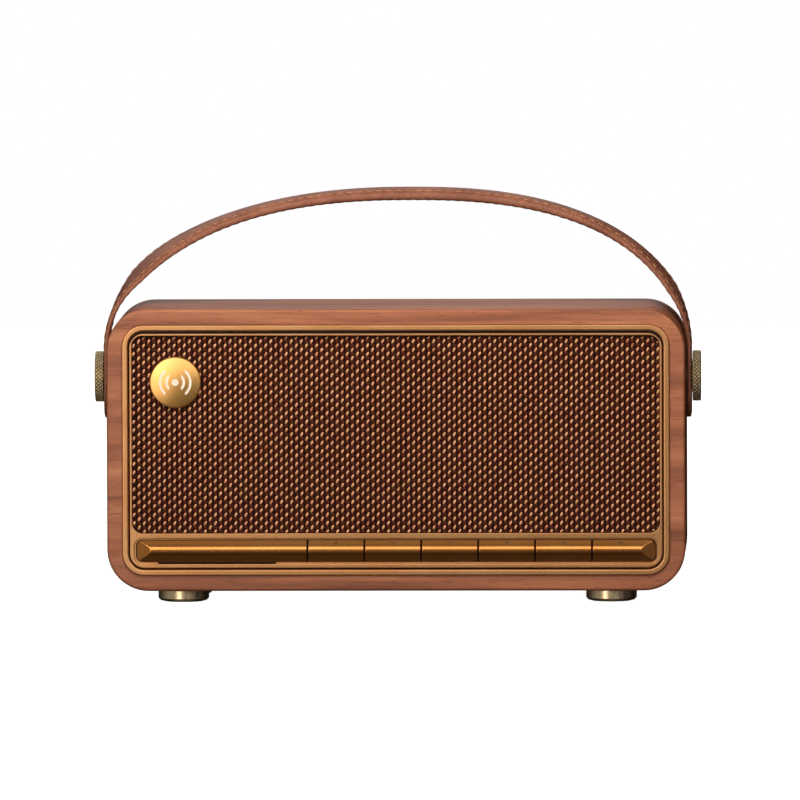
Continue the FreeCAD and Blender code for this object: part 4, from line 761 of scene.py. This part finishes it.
def strap_frame(s):
    """The middle of the section at s, its across and outwards ways, half width and thickness."""
    outer, inner = both_faces(s)
    along = (both_faces(s + 0.0005)[0] - both_faces(s - 0.0005)[0]).normalized()
    outwards = Vector((0, 1, 0)).cross(along)
    if outwards.dot(outer - inner) < 0:
        outwards.negate()
    left = tab_length - max(-s, s - 1, 0.0)
    thick = max((outer - inner).dot(outwards), tab_thick) * quarter_round(left, edge_round)
    if not 0 <= s <= 1:
        outer = inner + outwards * thick
    wide = half_width * quarter_round(left, half_width)
    u = min(max(s, 0.0), 1.0)
    fade = min(u / left_fade, (1 - u) / right_fade, 1.0) ** 2
    twist = sum(most * math.exp(-((u - at) / twist_spread) ** 2) * fade for most, at in twists)
    turned = Matrix.Rotation(twist, 3, along)
    across_way = turned @ Vector((0, -1, 0))
    middle = outer - outwards * thick / 2
    return middle, across_way, turned @ outwards, wide, thick


def on_strap(s, across, out):
    """A point of the strap's surface: across runs from -1 to 1, and out is -1 inside and 1 outside."""
    middle, across_way, outwards, wide, thick = strap_frame(s)
    edge_thick = max(thick * edge_share, tab_thick)
    crown = (thick - edge_thick) * (1 - across ** 2) if out > 0 else 0.0
    level = out * edge_thick / 2 - (thick - edge_thick) / 2 + crown
    return middle + across_way * across * wide + outwards * level


print("strap arch, middle at the top", [round(v / MM, 1) for v in strap_frame(0.5)[0]], "mm")


# %% [markdown]
# ## Leather and thread
# Vegetable-tanned cowhide has pebbles of about a millimetre, with fine creases between them, and
# is paler where the hand has polished it. The thread is waxed linen.

# %% Leather and thread
def leather():
    """Tanned, dyed and waxed cowhide: a soft sheen over pebbles, and a colour in slow clouds."""
    material, tree, shader, mm = start("tanned_leather", Roughness=0.55)
    pebbles = add(tree, "TexVoronoi", {"Vector": mm, "Scale": 1.1, "Randomness": 1.0}, out="Distance",
                  feature="DISTANCE_TO_EDGE")
    creases = add(tree, "TexNoise", {"Vector": mm, "Scale": 1 / 1.4, "Detail": 4.0, "Roughness": 0.6},
                  out="Fac")
    cloud = add(tree, "TexNoise", {"Vector": mm, "Scale": 1 / 20.0, "Detail": 3.0, "Roughness": 0.6},
                out="Fac")
    crease_part = add(tree, "Math", {0: creases, 1: 0.35}, operation="MULTIPLY")
    mixed = add(tree, "Math", {0: cloud, 1: 0.65, 2: crease_part}, operation="MULTIPLY_ADD")
    hollow = add(tree, "MapRange", {"Value": pebbles, "From Min": 0.0, "From Max": 0.2})
    shine = add(tree, "MapRange", {"Value": creases, "From Min": 0.3, "From Max": 0.7, "To Min": 0.48,
                                   "To Max": 0.62})
    give(tree, shader, Roughness=shine,
         Base_Color=add(tree, "ValToRGB", {"Fac": mixed},
                        stops=[(0.38, "#70422f"), (0.5, "#83503b"), (0.62, "#945f48")]),
         Normal=add(tree, "Bump", {"Height": hollow, "Distance": 0.012 * MM, "Strength": 0.5}))
    return material


def waxed_thread():
    """Linen, plied and drawn through wax: paler than the leather, with the ridges of its plies."""
    material, tree, shader, mm = start("waxed_linen_thread", Roughness=0.6)
    cloud = add(tree, "TexNoise", {"Vector": mm, "Scale": 1 / 1.5}, out="Fac")
    plies = add(tree, "TexNoise", {"Vector": mm, "Scale": 1 / 0.3}, out="Fac")
    give(tree, shader,
         Base_Color=add(tree, "ValToRGB", {"Fac": cloud}, stops=[(0.3, "#a87555"), (0.7, "#c39470")]),
         Normal=add(tree, "Bump", {"Height": plies, "Distance": 0.05 * MM}))
    return material


leather_finish, thread_finish = leather(), waxed_thread()
print(leather_finish.name, thread_finish.name)

# %% The sections' shape and places
ring_points, round_steps, tab_steps, arch_steps = 30, 12, 6, 90
# A circle drawn towards its box: the lower the power, the squarer that way.
wide_power, thick_power = 0.3, 0.5
section = []
for i in range(ring_points):
    cos, sin = math.cos(2 * math.pi * i / ring_points), math.sin(2 * math.pi * i / ring_points)
    section.append((math.copysign(abs(cos) ** wide_power, cos), math.copysign(abs(sin) ** thick_power, sin)))
quarter = math.pi / 2
tab_stations = [tab_length - half_width * (1 - math.cos(quarter * i / round_steps))
                for i in range(round_steps + 1)]
tab_stations[0] -= 0.03 * MM
tab_stations += [(tab_length - half_width) * (1 - i / tab_steps) for i in range(1, tab_steps)]
stations = [-t for t in tab_stations]
stations += [i / arch_steps for i in range(arch_steps + 1)]
stations += [1 + t for t in reversed(tab_stations)]
print(len(stations), "sections of", ring_points, "points")

# %% Sweep the strap
strap_shape = bmesh.new()
ring = bmesh.ops.create_circle(strap_shape, segments=ring_points, radius=1.0, cap_ends=True)["verts"]
loop = list(strap_shape.edges)
for step, s in enumerate(stations):
    if step:
        grown = bmesh.ops.extrude_edge_only(strap_shape, edges=loop)["geom"]
        fresh = {g for g in grown if isinstance(g, bmesh.types.BMVert)}
        ring = [next(v for v in (e.other_vert(old) for e in old.link_edges) if v in fresh) for old in ring]
        loop = [g for g in grown if isinstance(g, bmesh.types.BMEdge)
                and g.verts[0] in fresh and g.verts[1] in fresh]
    for vertex, (across_place, out_place) in zip(ring, section):
        vertex.co = on_strap(s, across_place, out_place)
bmesh.ops.holes_fill(strap_shape, edges=loop)
piece("leather_strap", strap_shape, leather_finish, "handle", ["handle_strap"], sharp=60.0)

# %% [markdown]
# ## Stitches
# A row of stitches runs along each edge, 2.1 mm in, on both faces. A stitch is 2.9 mm long, with
# 1.4 mm of leather between it and the next, and it sinks into the leather at its ends. One small
# bead is made, and copies of it are turned and laid along the path.

# %% Places along the strap
stitch_pitch, stitch_length, stitch_wide, edge_distance = 4.3 * MM, 2.9 * MM, 0.5 * MM, 2.1 * MM
walk = [i / 400 for i in range(401)]
lengths = [0.0]
for first, second in zip(walk, walk[1:]):
    lengths.append(lengths[-1] + (both_faces(second)[0] - both_faces(first)[0]).length)
stitch_count = int(lengths[-1] / stitch_pitch)
stitch_places = []
for number in range(stitch_count):
    wanted = (number + 0.5) * stitch_pitch
    k = next(i for i, length in enumerate(lengths) if length >= wanted)
    share = (wanted - lengths[k - 1]) / (lengths[k] - lengths[k - 1])
    stitch_places.append(walk[k - 1] + share * (walk[k] - walk[k - 1]))
print("arch", round(lengths[-1], 3), "m long,", stitch_count, "stitches in each of four rows")

# %% Sew the strap
row_place = 1 - edge_distance / half_width
# A stitch's middle lies a little under the leather's face, and it is flatter than it is wide.
sunk, stitch_flatness = 0.93, 0.7
# Small steps along and across the strap, to find which ways the surface runs.
nearby, beside = 0.002, 0.02


def sew(shape, s, place, face):
    """One stitch, turned along the path and laid on the surface."""
    bead = bmesh.ops.create_uvsphere(shape, u_segments=6, v_segments=5, radius=0.5)["verts"]
    bmesh.ops.scale(shape, vec=(stitch_wide, stitch_wide * stitch_flatness, stitch_length), verts=bead)
    before, after = on_strap(max(s - nearby, 0), place, face), on_strap(min(s + nearby, 1), place, face)
    ahead_way = (after - before).normalized()
    side_way = (on_strap(s, place + beside, face) - on_strap(s, place - beside, face)).normalized()
    out_way = ahead_way.cross(side_way).normalized()
    axes = Matrix((out_way.cross(ahead_way), out_way, ahead_way)).transposed()
    bmesh.ops.rotate(shape, cent=(0, 0, 0), matrix=axes, verts=bead)
    bmesh.ops.translate(shape, vec=on_strap(s, place, face), verts=bead)


stitches = bmesh.new()
for s in stitch_places:
    for side in (-1, 1):
        for face in (-sunk, sunk):
            sew(stitches, s, side * row_place, face)
piece("strap_stitches", stitches, thread_finish, "handle", (), sharp=80.0)

# %% [markdown]
# ## Knurled thumb screws
# A knurl is pressed with two crossed wheels, which leaves rows of small diamonds about a
# millimetre apart. The head is one profile spun round the X axis. Where it is knurled, the profile
# has a point every half pitch, and every other point of the spun grid is raised, as on a
# chessboard. Each quad between is then split along its low diagonal, so that every raised point is
# the tip of a small pyramid on a diamond base. The back is hollow, for the washer.

# %% The head's profile
screw_low, screw_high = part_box("right_thumb_screw")
washer_low, washer_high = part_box("right_washer")
pivot = (screw_low.z + screw_high.z) / 2
head_back, head_face = washer_low.x + 0.15 * MM, screw_high.x
knurl_start, knurl_end = head_back + 0.12 * MM, head_face - 0.2 * MM
knurl_radius, knurl_height, knurl_turns, knurl_rows = 10.62 * MM, 0.48 * MM, 80, 5
edge_radius, recess_radius, recess = 10.4 * MM, 8.3 * MM, 0.25 * MM
plain_radius = edge_radius - 0.05 * MM
hollow_floor, hollow_radius = washer_high.x + 0.1 * MM, 7.3 * MM
knurl_width = knurl_end - knurl_start
knurl = [(knurl_start + knurl_width * i / (knurl_rows - 1), knurl_radius) for i in range(knurl_rows)]
head_profile = [
    (hollow_floor, 0.0), (hollow_floor, hollow_radius), (head_back, hollow_radius), (head_back, edge_radius),
    (knurl_start - 0.06 * MM, edge_radius + 0.05 * MM), *knurl, (head_face, edge_radius),
    (head_face, recess_radius + 0.3 * MM), (head_face - recess, recess_radius), (head_face - recess, 0.0),
]
print("head", round((head_face - head_back) / MM, 2), "mm thick,", len(head_profile), "points")

# %% Knurled brass
def knurled_brass():
    """Turned brass, knurled and lacquered, with light painted into its colour: a painted shade, near black,
    in the grooves, and a painted highlight, near white, on the points and the plain faces. Both follow the
    distance from the screw's axis."""
    material, tree, shader, mm = start("knurled_turned_brass", Metallic=0.7, Roughness=0.3)
    from_axis = add(tree, "VectorMath", {0: mm, 1: (0.0, 0.0, pivot / MM)}, operation="SUBTRACT")
    in_plane = add(tree, "VectorMath", {0: from_axis, 1: (0.0, 1.0, 1.0)}, operation="MULTIPLY")
    radius = add(tree, "VectorMath", {0: in_plane}, out="Value", operation="LENGTH")
    raised = add(tree, "MapRange", {"Value": radius, "From Min": knurl_radius / MM,
                                    "From Max": (knurl_radius + knurl_height) / MM})
    plain_face = add(tree, "Math", {0: radius, 1: plain_radius / MM}, operation="LESS_THAN")
    painted_light_level = add(tree, "Math", {0: raised, 1: plain_face}, operation="MAXIMUM")
    # The ramp paints light: painted shade in the grooves, and a painted highlight on the points and the plain
    # faces.
    colour = add(tree, "ValToRGB", {"Fac": painted_light_level},
                 stops=[(0.0, "#2e2210"), (0.16, "#9c8858"), (0.36, "#fbeac2"), (1.0, "#fff2d6")])
    wear = add(tree, "TexNoise", {"Vector": mm, "Scale": 1 / 0.8}, out="Fac")
    shine = add(tree, "MapRange", {"Value": wear, "From Min": 0.3, "From Max": 0.7, "To Min": 0.24,
                                   "To Max": 0.34})
    give(tree, shader, Base_Color=colour, Roughness=shine)
    return material


knurl_finish = knurled_brass()
print(knurl_finish.name)

# %% Thumb screws
def raise_points(screw):
    """Raises every other point of the knurled band, and gives back the points left low."""
    low_points = []
    for vertex in screw.verts:
        out = Vector((0, vertex.co.y, vertex.co.z - pivot))
        if abs(out.length - knurl_radius) > 0.01 * MM:
            continue
        turn_number = round((math.atan2(out.y, out.z) / (2 * math.pi)) * knurl_turns)
        row_number = round((vertex.co.x - knurl_start) / knurl_width * (knurl_rows - 1))
        if (turn_number + row_number) % 2:
            vertex.co += out.normalized() * knurl_height
        else:
            low_points.append(vertex)
    return low_points


shank_radius, shank_tip, shank_end = 2.0 * MM, screw_low.x, washer_high.x + 1.0 * MM
for side, way in (("left", -1), ("right", 1)):
    screw = bmesh.new()
    points = [screw.verts.new((x, 0, pivot + r)) for x, r in head_profile]
    edges = [screw.edges.new(pair) for pair in zip(points, points[1:])]
    bmesh.ops.spin(screw, geom=points + edges, cent=(0, 0, pivot), axis=(1, 0, 0), dvec=(0, 0, 0),
                   angle=2 * math.pi, steps=knurl_turns, use_merge=True)
    bmesh.ops.remove_doubles(screw, verts=screw.verts, dist=0.005 * MM)
    bmesh.ops.connect_verts(screw, verts=raise_points(screw))
    shank = bmesh.ops.create_cone(screw, cap_ends=True, segments=24, radius1=shank_radius,
                                  radius2=shank_radius, depth=shank_end - shank_tip)["verts"]
    bmesh.ops.rotate(screw, cent=(0, 0, 0), matrix=Matrix.Rotation(math.pi / 2, 3, "Y"), verts=shank)
    bmesh.ops.translate(screw, vec=((shank_end + shank_tip) / 2, 0, pivot), verts=shank)
    bmesh.ops.scale(screw, vec=(way, 1, 1), verts=screw.verts)
    piece(f"{side}_knurled_screw", screw, knurl_finish, f"{side}_thumb_screw", [f"{side}_thumb_screw"],
          sharp=20.0)

# %% [markdown]
# ## Marks on the keys
# Each key has a small dark mark near its top edge: a power ring, a source dot between two bars, a
# minus, a plus, and pairs of triangles. They are pad printed on the real thing, far thinner than
# they could be modelled, so each is a film 0.06 mm thick that lies on the key's upper slope.

# %% Ink and bars
def pad_ink():
    """Ink pressed on by a silicone pad: a flat dark brown, with no shine of its own."""
    material, tree, shader, mm = start("pad_printed_ink", Roughness=0.5)
    cloud = add(tree, "TexNoise", {"Vector": mm, "Scale": 1 / 0.8}, out="Fac")
    give(tree, shader,
         Base_Color=add(tree, "ValToRGB", {"Fac": cloud}, stops=[(0.3, "#2a1409"), (0.7, "#341a0d")]))
    return material


mark_high, mark_line, ink = 1.15 * MM, 0.3 * MM, 0.06 * MM


def bar(shape, x, z, wide, high):
    """A straight stroke of ink."""
    made = bmesh.ops.create_cube(shape, size=1.0)["verts"]
    bmesh.ops.scale(shape, vec=(wide, ink, high), verts=made)
    bmesh.ops.translate(shape, vec=(x, 0, z), verts=made)


def disc(shape, x, radius, sides, pointing=0.0):
    """A dot, or a triangle where it has three sides."""
    made = bmesh.ops.create_cone(shape, cap_ends=True, segments=sides, radius1=radius, radius2=radius,
                                 depth=ink)["verts"]
    bmesh.ops.rotate(shape, cent=(0, 0, 0), matrix=Matrix.Rotation(pointing, 3, "Z"), verts=made)
    bmesh.ops.rotate(shape, cent=(0, 0, 0), matrix=Matrix.Rotation(math.pi / 2, 3, "X"), verts=made)
    bmesh.ops.translate(shape, vec=(x, 0, 0), verts=made)


# %% Draw and place the marks
def draw_mark(shape, key):
    """A key's mark, drawn upright about the origin."""
    if key == "power":
        ring_radius = mark_high * 0.45
        for i in range(1, 12):
            angle = 2 * math.pi * i / 12
            bar(shape, math.sin(angle) * ring_radius, math.cos(angle) * ring_radius, mark_line, mark_line)
        bar(shape, 0, mark_high * 0.32, mark_line, mark_high * 0.5)
    elif key == "source":
        disc(shape, 0, mark_high * 0.28, 16)
        for side in (-1, 1):
            bar(shape, side * mark_high * 0.75, 0, mark_line, mark_high * 0.8)
    elif key.startswith("volume"):
        bar(shape, 0, 0, mark_high * 1.5, mark_line)
        if key == "volume_up":
            bar(shape, 0, 0, mark_line, mark_high)
    else:
        way = 1 if key == "next" else -1
        for place in (-0.45, 0.45):
            disc(shape, place * mark_high, mark_high * 0.5, 3, 0.0 if way < 0 else math.pi)


# The keys' own sizes: how high, how wide, how far the ridge stands out, and where it runs.
key_high, key_wide, ridge_out, ridge_place = 9.5 * MM, 24.1 * MM, 2.7 * MM, 0.43
edge_y = front_y + 0.2 * MM
slope = math.atan2(ridge_out, ridge_place * key_high)
mark_drop = 1.25 * MM
ink_finish = pad_ink()
for key in ("power", "source", "volume_down", "volume_up", "previous", "next"):
    low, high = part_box(key + "_key")
    key_top = (high.z + low.z + key_high) / 2
    middle_x = (low.x + min(high.x, low.x + key_wide)) / 2
    marks = bmesh.new()
    draw_mark(marks, key)
    bmesh.ops.rotate(marks, cent=(0, 0, 0), matrix=Matrix.Rotation(-slope, 3, "X"), verts=marks.verts)
    on_slope = (middle_x, edge_y - mark_drop * math.tan(slope), key_top - mark_drop)
    bmesh.ops.translate(marks, vec=on_slope, verts=marks.verts)
    piece(key + "_mark", marks, ink_finish, key + "_key", (), sharp=30.0)
